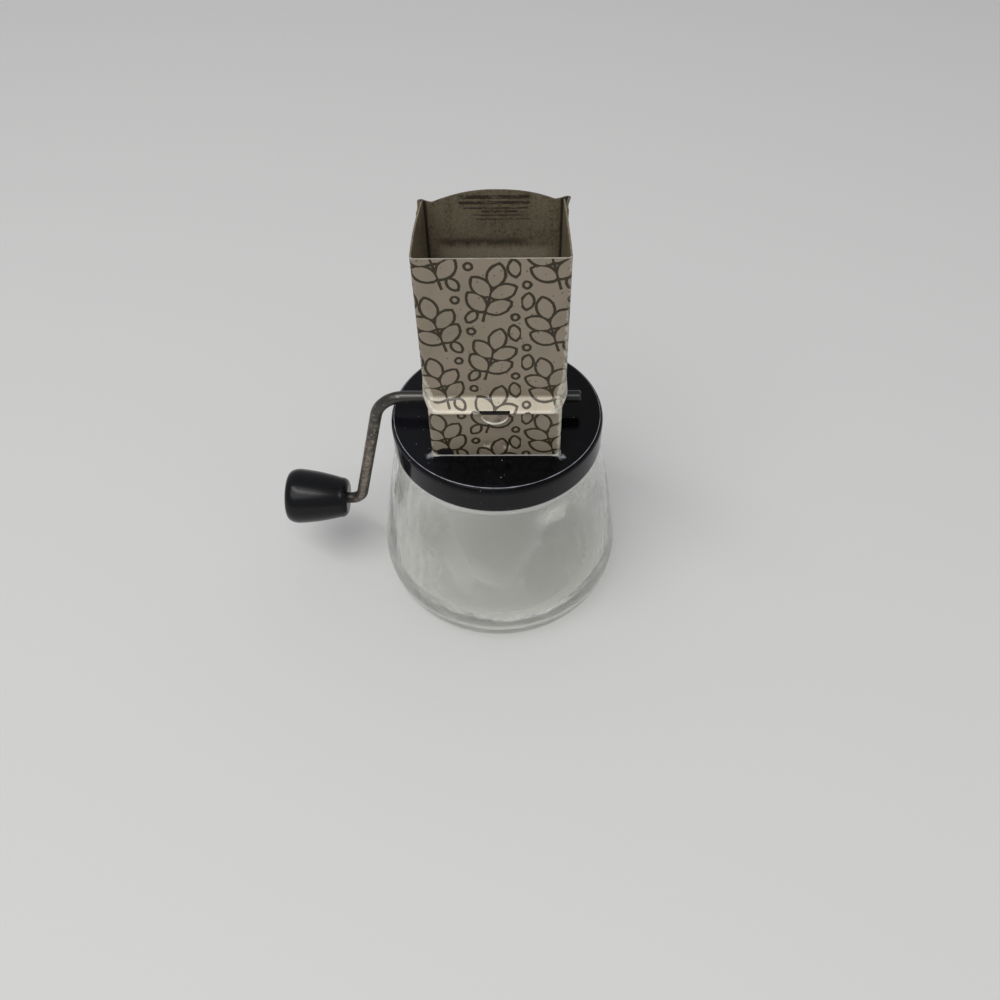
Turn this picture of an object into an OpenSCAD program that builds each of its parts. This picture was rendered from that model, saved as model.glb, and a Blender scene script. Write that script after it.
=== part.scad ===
// Hand cranked nut chopper: glass jar, screw cap with a sheet-metal hopper, crank and rotor.
// Millimetres. +Z is up, +X runs along the crank shaft away from the handle, -Y is the front.
// The origin is on the table, on the axis of the jar.

/* [Jar] */
// Widest diameter of the glass
jar_d = 86; // [80:0.5:96]
// Height of the widest point above the table
jar_belly_z = 14.7; // [11:0.1:19]
// How far the rounded foot draws in to the base
jar_foot_in = 7.6; // [6:0.1:11]
// Height of the rim above the table
jar_h = 74.9; // [66:0.1:90]
// Diameter of the shoulder, just under the cap
jar_shoulder_d = 68.6; // [66:0.1:70]
// Height of the threaded neck above the shoulder
jar_neck_h = 10.2; // [10:0.1:11.5]
// Outside diameter of the threaded neck
jar_neck_d = 64; // [62:0.1:65]
// Wall of the threaded neck
jar_neck_wall = 2.8; // [2:0.1:4]
// Wall of the jar
jar_wall = 2.9; // [2:0.1:4]
// Outward swell of the wall between foot and shoulder
jar_swell = 1.4; // [0:0.1:3]
// Glass under the inside of the jar
jar_floor = 4.6; // [3:0.1:7]
// Radius of the flat part of the inside floor
jar_floor_r = 27.5; // [22:0.1:32]
// Hollow under the base
jar_push_up = 0.7; // [0.4:0.1:2.5]
// Width of the slope that leads up into that hollow
jar_push_up_w = 6; // [3:0.5:12]
// Width of the ring that the jar stands on
jar_ring_w = 4.5; // [3:0.1:8]
// Rounding of the rim
jar_rim_r = 0.8; // [0.4:0.1:1.2]

/* [Cap] */
// Outside diameter of the cap
cap_d = 70; // [69:0.1:74]
// Height of the cap
cap_h = 10.4; // [9.4:0.1:10.6]
// Sheet of the cap
cap_sheet = 0.6; // [0.4:0.05:0.9]
// Rounding of the cap's top edge
cap_edge_r = 1.8; // [1.2:0.1:3]
// Thickness of the curled hem at the skirt's lower edge
cap_hem = 1.1; // [0.9:0.1:1.5]
// Thickness of the sealing liner
liner_t = 1; // [0.6:0.1:1.6]

/* [Hopper] */
// Sheet of the hopper
sheet = 0.5; // [0.3:0.05:0.7]
// Outside width of the neck that stands in the cap
neck_w = 40.4; // [38:0.1:42]
// Outside depth of the neck
neck_depth = 41; // [38:0.1:43]
// Outside width of the upper box
box_w = 42.7; // [40:0.1:45]
// Outside depth of the upper box
box_depth = 32.8; // [30:0.1:38]
// How much the upper box narrows on each side towards the back
box_taper = 1; // [0:0.1:2]
// Height of the front rim above the cap
hopper_h = 70.2; // [56:0.1:90]
// Drop of the side rims from front to back
rim_drop = 2; // [0:0.1:4]
// Outward bow of the side panels at the rim
rim_bow = 0.35; // [0:0.05:2]
// Rounding of the upright corners
corner_r = 1.2; // [0.9:0.1:3]
// Rounding of the corners at the bead
bead_corner_r = 3; // [2:0.1:5]
// Height of the bead's lower crease above the cap
bead_above_cap = 18.3; // [16:0.1:22]
// Height of the bead at the front and back
bead_h = 2.9; // [2.4:0.1:5]
// Height of the lip under the bead
bead_lip = 0.5; // [0.3:0.1:1]
// How far the lip stands out from the neck
bead_out = 0.8; // [0.3:0.1:2]
// Outside width at the bead
bead_w = 43.8; // [42:0.1:47]
// Height over which the sides draw in again above the bead
bead_tail = 8; // [6:0.5:16]
// Rise of the arch on the back panel
arch_h = 3.4; // [1:0.1:6]
// Fullness of the arch: 2 is a plain bow, more is flatter on top
arch_power = 2.2; // [2:0.1:4]
// Distance from the middle to the foot of the arch
arch_foot = 17.5; // [14:0.5:20]
// Rise from the foot of the arch to the corner
ear_h = 1.1; // [0:0.1:2]
// Width of the back panel's flanges, which lap over the sides
flange_w = 8; // [5:0.1:11]
// Outward flare of the corners at the rim
flange_flare = 1.6; // [0:0.1:3]
// Height over which the corners flare
flare_h = 7.5; // [4:0.5:12]
// Length of the tabs that fold under the cap
stake_len = 3; // [2:0.1:4]
// Width of the tabs that fold under the cap
stake_w = 8; // [5:0.1:10]

/* [Combs] */
// Sheet of the combs
comb_t = 0.8; // [0.5:0.1:1.2]
// Slot width of the front, fine comb
fine_slot = 2.6; // [2.4:0.1:3.4]
// Slot width of the rear, coarse comb
coarse_slot = 3.6; // [2.4:0.1:4.2]
// Width of the locking tab
lock_w = 8; // [5:0.1:10]
// Spare width of the slot that takes the locking tab
lock_slack = 2; // [0.6:0.1:4]
// Height of the slot that takes the locking tab
lock_slot_h = 1.2; // [1.1:0.1:2]

/* [Crank] */
// Diameter of the crank rod
rod_d = 4; // [3.4:0.1:4.6]
// Height of the shaft above the cap
shaft_above_cap = 6.2; // [5.8:0.1:9]
// End of the shaft beyond the hopper's neck
shaft_stub = 7.2; // [4:0.1:12]
// Distance from the jar's axis to the upper bend
arm_x = 38.3; // [38:0.1:46]
// Outward run of the arm from the upper to the lower bend
arm_run = 12.4; // [6:0.1:18]
// Drop of the arm from the shaft to the lower bend
arm_drop = 50.3; // [40:0.1:58]
// Radius of the upper bend
bend_r = 10.5; // [6:0.1:13]
// Radius of the lower bend
pin_bend_r = 4.6; // [3:0.1:5.3]
// Upward tilt of the pin that carries the knob, in degrees
pin_tilt = 3; // [-6:0.5:6]
// Chamfer at both ends of the rod
rod_chamfer = 0.5; // [0.2:0.1:1]

/* [Knob] */
// Length of the knob
knob_l = 22.2; // [18:0.1:32]
// Largest diameter of the knob
knob_d = 20; // [16:0.1:24]
// Diameter of the knob's inner end
knob_inner_d = 14.6; // [11:0.1:18]
// Distance from the lower bend's corner to the knob
knob_off = 4.6; // [4.4:0.1:7]
// Diameter of the recess in the knob's outer end
knob_recess_d = 9.4; // [8.4:0.1:11]
// Depth of that recess
knob_recess = 3; // [2:0.1:5]
// Diameter of the push nut that keeps the knob on
nut_d = 8; // [6.5:0.1:8.2]
// Thickness of the push nut
nut_t = 0.8; // [0.5:0.1:1.2]

/* [Rotor] */
// Number of cutting tines
tine_n = 6; // [4:1:7]
// Thickness of a tine
tine_t = 1.2; // [0.8:0.1:1.4]
// Radius that the tines reach
tine_r = 12.4; // [10:0.1:13]
// Width of a tine at its root
tine_root_w = 5.6; // [4.6:0.1:7]
// Width of a tine at its tip
tine_tip_w = 3; // [2:0.1:4]
// Turn from one tine to the next, in degrees
tine_step = 60; // [0:5:90]
// Outside diameter of the spacers between the tines
spacer_d = 6.8; // [6:0.1:8]
// Length of the spacer at each end of the rotor
end_spacer = 2.4; // [1.5:0.1:4]
// Diameter of the thrust washers
washer_d = 9; // [7.5:0.1:11]
// Thickness of the thrust washers
washer_t = 0.8; // [0.5:0.1:1.2]

/* [Fits] */
// Radial clearance of a turning fit
run_gap = 0.06; // [0.02:0.01:0.1]
// Clearance between pieces that are fixed together
seat_gap = 0.03; // [0.01:0.01:0.05]
// Clearance beside a piece that turns past another
side_gap = 0.3; // [0.2:0.05:0.5]
// Clearance of the neck in the cap and of the combs in the neck
slip_gap = 0.12; // [0.05:0.01:0.2]

/* [Hidden] */
$fn = 72;

// Heights
liner_z = jar_h + seat_gap;
cap_under = liner_z + liner_t + seat_gap;
cap_top = cap_under + cap_sheet;
bead_lo = cap_top + bead_above_cap;
bead_edge = bead_lo + bead_lip;
bead_hi = bead_lo + bead_h;
rim_z = cap_top + hopper_h;
shaft_z = cap_top + shaft_above_cap;
stake_z = cap_under - seat_gap - sheet;

// Half sizes of the hopper
neck_hw = neck_w / 2;
neck_hd = neck_depth / 2;
box_hw = box_w / 2;
box_hd = box_depth / 2;
bead_hw = bead_w / 2;
inner_hw = neck_hw - sheet;
inner_hd = neck_hd - sheet;
lap = sheet + seat_gap;

// Rotor and combs
rod_r = rod_d / 2;
fixed_r = rod_r + seat_gap;
washer_x = inner_hw - side_gap - washer_t;
last_tine_x = washer_x - seat_gap - end_spacer - seat_gap - tine_t / 2;
tine_pitch = 2 * last_tine_x / (tine_n - 1);
tine_x = [for (i = [0:tine_n - 1]) -last_tine_x + i * tine_pitch];
lock_z = bead_lo + slip_gap + comb_t / 2;
comb_y = inner_hd - slip_gap;
comb_tilt = atan2(lock_z - shaft_z, comb_y);
comb_reach = comb_y / cos(comb_tilt) - comb_t / 2 * tan(comb_tilt);
comb_tip = max(spacer_d, washer_d) / 2 + side_gap;

// Crank: corner points in the XZ plane and the turn at each bend
arm_lean = atan2(arm_run, arm_drop);
upper_turn = 90 - arm_lean;
lower_turn = upper_turn + pin_tilt;
shaft_dir = [-1, 0];
arm_dir = [-sin(arm_lean), -cos(arm_lean)];
pin_dir = [-cos(pin_tilt), sin(pin_tilt)];
upper_corner = [-arm_x, shaft_z];
lower_corner = [-arm_x - arm_run, shaft_z - arm_drop];
upper_tangent = bend_r * tan(upper_turn / 2);
lower_tangent = pin_bend_r * tan(lower_turn / 2);
pin_end = knob_off + knob_l - knob_recess / 3;
bend_thin = 0.03;
bend_lap = 0.3;
shaft_end_x = neck_hw + shaft_stub;

// Knob: chamfer at its inner end, share of its length that the crown takes, width of the face round
// the recess, and where the curve of its side is pulled to, as shares of the swell and of the body
knob_edge = 0.8;
knob_crown = 0.2;
knob_face_w = 1.2;
knob_pull = [0.75, 0.55];

// How far a cutter runs past the piece that it cuts
cut = 1;

// Steps of the curves and sections of the lofts
wall_steps = 6;
fillet_steps = 3;
foot_step = 15;
edge_steps = 8;
hem_steps = 14;
knob_steps = 8;
crown_step = 10;
bead_steps = 8;
tail_steps = 4;
bow_steps = 4;
bow_h = 30;
side_steps = 6;
corner_steps = 5;
front_steps = 4;
arch_steps = 20;

// Points
function arc(c, r, a0, a1, n) = [for (i = [0:n]) let (a = a0 + (a1 - a0) * i / n) c + r * [cos(a), sin(a)]];
function curve(p0, p1, p2, n) =
    [for (i = [0:n]) let (t = i / n) (1 - t) ^ 2 * p0 + 2 * t * (1 - t) * p1 + t ^ 2 * p2];
function ramp(x, x0, x1) = min(1, max(0, (x - x0) / (x1 - x0)));
function ease(x, x0, x1) = (1 - cos(180 * ramp(x, x0, x1))) / 2;

// Half depth of the hopper at a height: neck, lip, bead drawn in like a shelf, upper box
shelf = neck_hd + bead_out - box_hd;
function half_depth(z) =
    neck_hd + bead_out * ramp(z, bead_lo, bead_edge) - shelf * ease(z, bead_edge, bead_hi);

// Depth that the sheet takes up at a height: more than its thickness where the bead slopes
steepest = shelf * PI / 2 / (bead_hi - bead_edge);
function sheet_depth(z) = let (slope = steepest * sin(180 * ramp(z, bead_edge, bead_hi)))
    min(sheet * sqrt(1 + slope ^ 2), max(sheet, half_depth(z) - box_hd + sheet));

// Half width of the hopper at a height: neck, bead, then a slow tail into the upper box
function half_width(z) = neck_hw + (bead_hw - neck_hw) * ease(z, bead_edge, bead_hi)
    - (bead_hw - box_hw) * ease(z, bead_hi, bead_hi + bead_tail);

// Rounding of the upright corners at a height: larger at the bead
function corner_at(z) = corner_r
    + (bead_corner_r - corner_r) * ramp(z, bead_lo, bead_edge) * (1 - ease(z, bead_hi, bead_hi + bead_tail));

// Outward bow of the sides near the rim, none at the corners
function bow(y, z) = rim_bow * ramp(z, rim_z - bow_h, rim_z) * (1 - (y / half_depth(z)) ^ 2);

// Plan of a sheet bent to a U that is open towards +Y
function u_path(hw, hd, r, y_end, steps) = concat(
    [for (i = [0:side_steps - 1]) [-hw, y_end + (r - hd - y_end) * i / side_steps]],
    arc([r - hw, r - hd], r, 180, 270, corner_steps),
    [for (i = [1:steps - 1]) [(hw - r) * (2 * i / steps - 1), -hd]],
    arc([hw - r, r - hd], r, 270, 360, corner_steps),
    [for (i = [1:side_steps]) [hw, r - hd + (y_end + hd - r) * i / side_steps]]);

// Share that the upper box narrows by at a point, and a path with that taper and the bow; way is -1 for the
// back sheet, which is drawn mirrored
function taper(y, z) = box_taper / box_hw * ramp(z, bead_hi, bead_hi + bead_tail)
    * ramp(y, -half_depth(z), half_depth(z));
function shaped(path, z, way) =
    [for (p = path) [p.x * (1 - taper(way * p.y, z)) + sign(p.x) * bow(p.y, z), p.y]];

// Heights of the loft's sections, from the folded tabs to just under the rim
function section_z() = concat(
    [stake_z],
    [bead_lo],
    [for (i = [0:bead_steps]) bead_edge + (bead_hi - bead_edge) * i / bead_steps],
    [for (i = [1:tail_steps]) bead_hi + bead_tail * i / tail_steps],
    [for (i = [0:bow_steps - 1]) rim_z - bow_h * (1 - i / bow_steps)]);

// Closed sheet lofted through rings, each an outer path followed by the inner path reversed
module loft_sheet(rings) {
    m = len(rings[0]);
    n = m / 2;
    last = len(rings) - 1;
    sides = [for (k = [0:last - 1], j = [0:m - 1]) let (a = k * m + j, b = k * m + (j + 1) % m)
        each [[a, a + m, b + m], [a, b + m, b]]];
    foot = [for (j = [0:n - 2]) let (a = j, b = m - 1 - j) each [[a, a + 1, b - 1], [a, b - 1, b]]];
    rim = [for (j = [0:n - 2]) let (a = last * m + j, b = last * m + m - 1 - j)
        each [[a, b, b - 1], [a, b - 1, a + 1]]];
    polyhedron(points = [for (ring = rings) each ring], faces = concat(sides, foot, rim), convexity = 8);
}

function reversed(list) = [for (i = [len(list) - 1:-1:0]) list[i]];

// Front sheet: front panel and both sides, with the side rims falling to the back
function front_rim_z(y) = rim_z - rim_drop * (y + box_hd) / box_depth;
function side_end(z) = half_depth(z) - corner_at(z) + sheet - sheet_depth(z);
function front_plan(z, side_in, depth_in) = let (hw = half_width(z), hd = half_depth(z), r = corner_at(z))
    shaped(u_path(hw - side_in, hd - depth_in, r - side_in, side_end(z), front_steps), z, 1);
function front_ring(z) = let (inside = reversed(front_plan(z, sheet, sheet_depth(z))))
    [for (p = concat(front_plan(z, 0, 0), inside)) [p.x, p.y, z]];
function front_top() = [for (p = front_ring(rim_z)) [p.x, p.y, front_rim_z(p.y)]];

// Back sheet, drawn mirrored: arched panel, flanges that lap over the sides, corners that flare at the rim
foot_z = rim_z - rim_drop - ear_h;
function arch_z(x) = let (d = abs(x))
    foot_z + arch_h * (1 - min(1, d / arch_foot) ^ arch_power) + ear_h * ease(d, arch_foot, box_hw);
function flare(p, z) = let (hd = half_depth(z)) flange_flare * ramp(z, rim_z - flare_h, rim_z) ^ 2
    * (1 - ramp(p.y, -hd, flange_w - hd)) * ramp(abs(p.x), arch_foot, box_hw);
function back_plan(z, side_in, depth_in) =
    let (hw = half_width(z) + lap, hd = half_depth(z), r = corner_at(z))
    [for (p = shaped(u_path(hw - side_in, hd - depth_in, r - side_in, flange_w - hd, arch_steps), z, -1))
        [p.x + sign(p.x) * flare(p, z), p.y]];
function back_ring(z) = let (inside = reversed(back_plan(z, sheet, sheet_depth(z))))
    [for (p = concat(back_plan(z, 0, 0), inside)) [p.x, p.y, z]];
function back_top() = [for (p = back_ring(rim_z)) [p.x, p.y, arch_z(p.x)]];

// Round bar from one point of the XZ plane to another, with a chamfer at the second
module rod_run(a, b, chamfer = 0) {
    d = b - a;
    l = norm(d);
    translate([a.x, 0, a.y]) rotate([0, atan2(d.x, d.y), 0])
        rotate_extrude() polygon([[0, 0], [rod_r, 0], [rod_r, l - chamfer], [rod_r - chamfer, l], [0, l]]);
}

// Bend in the XZ plane: bar thins a little where it is bent, so the straight runs lap over it
module rod_bend(c, r, a0, a1) {
    translate([c.x, 0, c.y]) rotate([90, 0, 0]) rotate([0, 0, a0])
        rotate_extrude(angle = a1 - a0) translate([r, 0]) circle(r = rod_r - bend_thin);
}

// Anything that is turned round the pin: local +Z runs out along the pin from the lower corner
module on_pin() {
    translate([lower_corner.x, 0, lower_corner.y]) rotate([0, atan2(pin_dir.x, pin_dir.y), 0]) children();
}

// Tube along the shaft from x0 over a length
module shaft_ring(x0, length, r_out, r_in) {
    translate([x0, 0, shaft_z]) rotate([0, 90, 0]) difference() {
        cylinder(h = length, r = r_out);
        translate([0, 0, -cut]) cylinder(h = length + 2 * cut, r = r_in);
    }
}

module glass_jar() {
    r_max = jar_d / 2;
    base_r = r_max - jar_foot_in;
    shoulder_r = jar_shoulder_d / 2;
    shoulder_top = jar_h - jar_neck_h;
    neck_r = jar_neck_d / 2;
    mouth_r = neck_r - jar_neck_wall;
    step_h = jar_neck_wall / 2;
    swell = [jar_swell, 0];
    outer_foot = [for (a = [0:foot_step:90]) [base_r + jar_foot_in * sin(a), jar_belly_z * (1 - cos(a))]];
    belly = [r_max, jar_belly_z];
    shoulder = [shoulder_r, shoulder_top];
    outer_wall = curve(belly, (belly + shoulder) / 2 + swell, shoulder, wall_steps);
    outer_rim = concat(
        curve(shoulder, shoulder + [0, step_h], [neck_r, shoulder_top + step_h], fillet_steps),
        arc([neck_r - jar_rim_r, jar_h - jar_rim_r], jar_rim_r, 0, 90, fillet_steps));
    inner_rim = arc([mouth_r + jar_rim_r, jar_h - jar_rim_r], jar_rim_r, 90, 180, fillet_steps);
    inner_top = [shoulder_r - jar_wall, shoulder_top - jar_neck_wall];
    inner_belly = [r_max - jar_wall, jar_belly_z + jar_floor];
    mouth_bend = [mouth_r, shoulder_top - step_h];
    inner_neck = curve([mouth_r, shoulder_top + step_h], mouth_bend, inner_top, fillet_steps);
    inner_wall = curve(inner_top, (inner_top + inner_belly) / 2 + swell, inner_belly, wall_steps);
    inner_foot = [for (a = [90 - foot_step:-foot_step:0])
        [jar_floor_r + (inner_belly.x - jar_floor_r) * sin(a),
        jar_floor + (inner_belly.y - jar_floor) * (1 - cos(a))]];
    ring_in = base_r - jar_ring_w;
    base = [[0, jar_floor], [0, jar_push_up], [ring_in - jar_push_up_w, jar_push_up], [ring_in, 0]];
    outside = concat(base, outer_foot, outer_wall, outer_rim);
    inside = concat(inner_rim, inner_neck, inner_wall, inner_foot);
    color([0.82, 0.9, 0.87, 0.4]) rotate_extrude() polygon(concat(outside, inside));
}

module cap_liner() {
    color([0.75, 0.7, 0.6]) translate([0, 0, liner_z]) difference() {
        cylinder(h = liner_t, r = cap_d / 2 - cap_edge_r - slip_gap);
        translate([0, 0, -cut]) cylinder(h = liner_t + 2 * cut, r = jar_neck_d / 2 - jar_neck_wall);
    }
}

// Rectangle with rounded corners
module rounded_plan(w, d, r) {
    square([w, d - 2 * r], center = true);
    square([w - 2 * r, d], center = true);
    for (x = [-1, 1], y = [-1, 1]) translate([x * (w / 2 - r), y * (d / 2 - r)]) circle(r = r);
}

module screw_cap() {
    r = cap_d / 2;
    skirt_z = cap_top - cap_h;
    hem_r = cap_hem / 2;
    edge_c = [r - cap_edge_r, cap_top - cap_edge_r];
    hem_end = 360 - acos((hem_r - cap_sheet) / hem_r);
    shell = concat([[0, cap_under], [0, cap_top]],
        arc(edge_c, cap_edge_r, 90, 0, edge_steps),
        arc([r - hem_r, skirt_z + hem_r], hem_r, 0, -hem_end, hem_steps),
        arc(edge_c, cap_edge_r - cap_sheet, 0, 90, edge_steps));
    color([0.03, 0.03, 0.035]) difference() {
        rotate_extrude() polygon(shell);
        translate([0, 0, cap_under - cut]) linear_extrude(cap_sheet + 2 * cut) {
            rounded_plan(neck_w + 2 * slip_gap, neck_depth + 2 * slip_gap, corner_r);
            intersection() {
                rounded_plan(neck_w + 2 * (lap + slip_gap), neck_depth + 2 * slip_gap, corner_r);
                translate([-neck_w, neck_hd - flange_w - slip_gap]) square([2 * neck_w, neck_depth]);
            }
        }
    }
}

// Tab of the hopper folded outwards under the cap, drawn at the front
module stake(x, hd) {
    translate([x - stake_w / 2, -hd - stake_len, stake_z]) cube([stake_w, stake_len + sheet / 2, sheet]);
}

// Slot in the sheet for the locking tab of a comb, drawn at the front
module lock_slot() {
    width = lock_w + lock_slack;
    translate([-width / 2, -neck_hd - bead_out - cut, bead_lo]) cube([width, shelf + cut, lock_slot_h]);
}

module hopper_front() {
    color([0.72, 0.68, 0.6]) difference() {
        union() {
            loft_sheet(concat([for (z = section_z()) front_ring(z)], [front_top()]));
            for (x = [-neck_hw / 2, neck_hw / 2]) stake(x, neck_hd);
            for (a = [90, -90]) rotate(a) stake(0, neck_hw);
        }
        translate([-neck_w, 0, shaft_z]) rotate([0, 90, 0]) cylinder(h = 2 * neck_w, r = rod_r + run_gap);
        lock_slot();
    }
}

module hopper_back() {
    color([0.7, 0.66, 0.57]) mirror([0, 1, 0]) difference() {
        union() {
            loft_sheet(concat([for (z = section_z()) back_ring(z)], [back_top()]));
            for (x = [-neck_hw / 2, neck_hw / 2]) stake(x, neck_hd);
        }
        lock_slot();
    }
}

// Comb aimed at the shaft from the front: teeth between the tines, and a tab locked through the hopper
module comb(slot_w) {
    hw = inner_hw - slip_gap;
    edge = [[hw, -comb_tip], [hw, corner_r - comb_reach], [hw - corner_r, -comb_reach]];
    root = tine_r + side_gap;
    hang = neck_hd + seat_gap;
    translate([0, 0, shaft_z]) rotate([-comb_tilt, 0, 0]) translate([0, 0, -comb_t / 2])
        linear_extrude(comb_t) difference() {
            polygon(concat(edge, reversed([for (p = edge) [-p.x, p.y]])));
            for (x = tine_x) translate([x, 0]) {
                translate([-slot_w / 2, -root]) square([slot_w, root]);
                translate([0, -root]) circle(d = slot_w, $fn = 24);
            }
        }
    translate([-lock_w / 2, -hang - comb_t, lock_z - comb_t / 2])
        cube([lock_w, hang + comb_t - comb_y + comb_t, comb_t]);
    translate([0, -hang, lock_z - comb_t / 2]) rotate([90, 0, 0]) linear_extrude(comb_t) {
        translate([-lock_w / 2, 0]) square([lock_w, comb_t]);
        intersection() {
            circle(d = lock_w, $fn = 48);
            translate([-lock_w / 2, -lock_w]) square([lock_w, lock_w]);
        }
    }
}

module front_comb() {
    color([0.55, 0.52, 0.47]) comb(fine_slot);
}

module rear_comb() {
    color([0.55, 0.52, 0.47]) mirror([0, 1, 0]) comb(coarse_slot);
}

module crank_rod() {
    upper_start = upper_corner - upper_tangent * shaft_dir;
    upper_end = upper_corner + upper_tangent * arm_dir;
    lower_start = lower_corner - lower_tangent * arm_dir;
    lower_end = lower_corner + lower_tangent * pin_dir;
    upper_centre = upper_start + [0, -bend_r];
    lower_centre = lower_start + pin_bend_r * [-cos(arm_lean), sin(arm_lean)];
    color([0.36, 0.35, 0.33]) {
        rod_run(upper_start + bend_lap * shaft_dir, [shaft_end_x, shaft_z], rod_chamfer);
        rod_bend(upper_centre, bend_r, 90, 90 + upper_turn);
        rod_run(upper_end - bend_lap * arm_dir, lower_start + bend_lap * arm_dir);
        rod_bend(lower_centre, pin_bend_r, -arm_lean - lower_turn, -arm_lean);
        rod_run(lower_end - bend_lap * pin_dir, lower_corner + pin_end * pin_dir, rod_chamfer);
    }
}

module crank_knob() {
    r_max = knob_d / 2;
    r_in = knob_inner_d / 2;
    edge = knob_edge;
    crown_l = knob_l * knob_crown;
    face_r = knob_recess_d / 2 + knob_face_w;
    body_l = knob_l - crown_l;
    pull = [r_in + knob_pull.x * (r_max - r_in), knob_pull.y * body_l];
    swell = curve([r_in, edge], pull, [r_max, body_l], knob_steps);
    crown = [for (a = [crown_step:crown_step:90])
        [face_r + (r_max - face_r) * cos(a), knob_l - crown_l * (1 - sin(a))]];
    bore_r = rod_r + run_gap;
    color([0.04, 0.04, 0.045]) on_pin() translate([0, 0, knob_off]) difference() {
        rotate_extrude() polygon(concat([[0, 0], [r_in - edge, 0]], swell, crown, [[0, knob_l]]));
        translate([0, 0, -cut]) cylinder(h = knob_l + 2 * cut, r = bore_r);
        translate([0, 0, knob_l - knob_recess]) cylinder(h = knob_recess + cut, d = knob_recess_d);
    }
}

module knob_push_nut() {
    seat = knob_off + knob_l - knob_recess + side_gap;
    color([0.6, 0.6, 0.6]) on_pin() translate([0, 0, seat]) difference() {
        cylinder(h = nut_t, d = nut_d);
        translate([0, 0, -cut]) cylinder(h = nut_t + 2 * cut, r = fixed_r);
    }
}

// Stamped tine with two opposite prongs
module rotor_tine(i) {
    neck_x = tine_r - tine_tip_w / 2;
    prong = [[0, -tine_root_w / 2], [neck_x, -tine_tip_w / 2], [tine_r, 0],
        [neck_x, tine_tip_w / 2], [0, tine_root_w / 2]];
    color([0.5, 0.48, 0.45]) translate([tine_x[i] - tine_t / 2, 0, shaft_z])
        rotate([0, 90, 0]) rotate(i * tine_step) linear_extrude(tine_t) difference() {
            union() {
                circle(d = max(tine_root_w, spacer_d));
                for (a = [0, 180]) rotate(a) polygon(prong);
            }
            circle(r = fixed_r);
        }
}

module rotor_spacers() {
    color([0.6, 0.58, 0.55]) {
        length = tine_pitch - tine_t - 2 * seat_gap;
        for (i = [0:tine_n - 2])
            shaft_ring(tine_x[i] + tine_t / 2 + seat_gap, length, spacer_d / 2, fixed_r);
        for (x = [-washer_x + seat_gap, washer_x - seat_gap - end_spacer])
            shaft_ring(x, end_spacer, spacer_d / 2, fixed_r);
    }
}

module left_washer() {
    color([0.65, 0.65, 0.65]) shaft_ring(-washer_x - washer_t, washer_t, washer_d / 2, fixed_r);
}

module right_washer() {
    color([0.65, 0.65, 0.65]) shaft_ring(washer_x, washer_t, washer_d / 2, fixed_r);
}

glass_jar();
cap_liner();
screw_cap();
hopper_front();
hopper_back();
front_comb();
rear_comb();
crank_rod();
crank_knob();
knob_push_nut();
for (i = [0:tine_n - 1]) rotor_tine(i);
rotor_spacers();
left_washer();
right_washer();
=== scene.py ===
import math
import bpy
from mathutils import Matrix, Vector


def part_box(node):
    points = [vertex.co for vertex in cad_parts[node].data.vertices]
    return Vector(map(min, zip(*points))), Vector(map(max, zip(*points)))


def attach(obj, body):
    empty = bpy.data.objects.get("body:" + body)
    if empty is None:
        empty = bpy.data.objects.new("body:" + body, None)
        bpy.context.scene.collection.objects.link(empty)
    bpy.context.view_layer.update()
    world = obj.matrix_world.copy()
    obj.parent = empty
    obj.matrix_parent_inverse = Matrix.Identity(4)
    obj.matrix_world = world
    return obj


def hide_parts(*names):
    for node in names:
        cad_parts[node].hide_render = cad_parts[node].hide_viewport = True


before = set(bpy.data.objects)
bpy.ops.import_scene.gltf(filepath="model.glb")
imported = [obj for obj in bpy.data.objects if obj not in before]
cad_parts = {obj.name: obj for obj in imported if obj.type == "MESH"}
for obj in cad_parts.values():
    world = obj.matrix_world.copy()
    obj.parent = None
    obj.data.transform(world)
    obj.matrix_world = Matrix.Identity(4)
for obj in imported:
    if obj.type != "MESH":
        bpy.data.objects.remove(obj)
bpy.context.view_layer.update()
scene = bpy.context.scene
mm = 0.001
turn = 2 * math.pi
print("frame loaded,", len(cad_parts), "nodes")


def boxOf(node):  # lowest and highest corner of a node, in mm
    low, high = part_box(node)
    return Vector(low) / mm, Vector(high) / mm


# heights and radii that the other pieces are built on, in mm
jarHigh = boxOf("glass_jar")[1]
capLow, capHigh = boxOf("screw_cap")
washerLow, washerHigh = boxOf("left_washer")
jarTop = jarHigh.z
jarR = jarHigh.y
capTop = capHigh.z
capBottom = capLow.z
capR = capHigh.x
rimZ = boxOf("hopper_front")[1].z
shaftZ = (washerLow.z + washerHigh.z) / 2
beadRise = 18.3  # from the cap's top to the crease under the hopper's bead
beadLow = capTop + beadRise


# a method that adds one Math node to a wire; turned puts the other value first
def mathNode(operation, turned=False):
    def method(wire, *others):
        values = (*others, wire) if turned else (wire, *others)
        return wire.node("Math", {"operation": operation}, dict(enumerate(values)))
    return method


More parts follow.
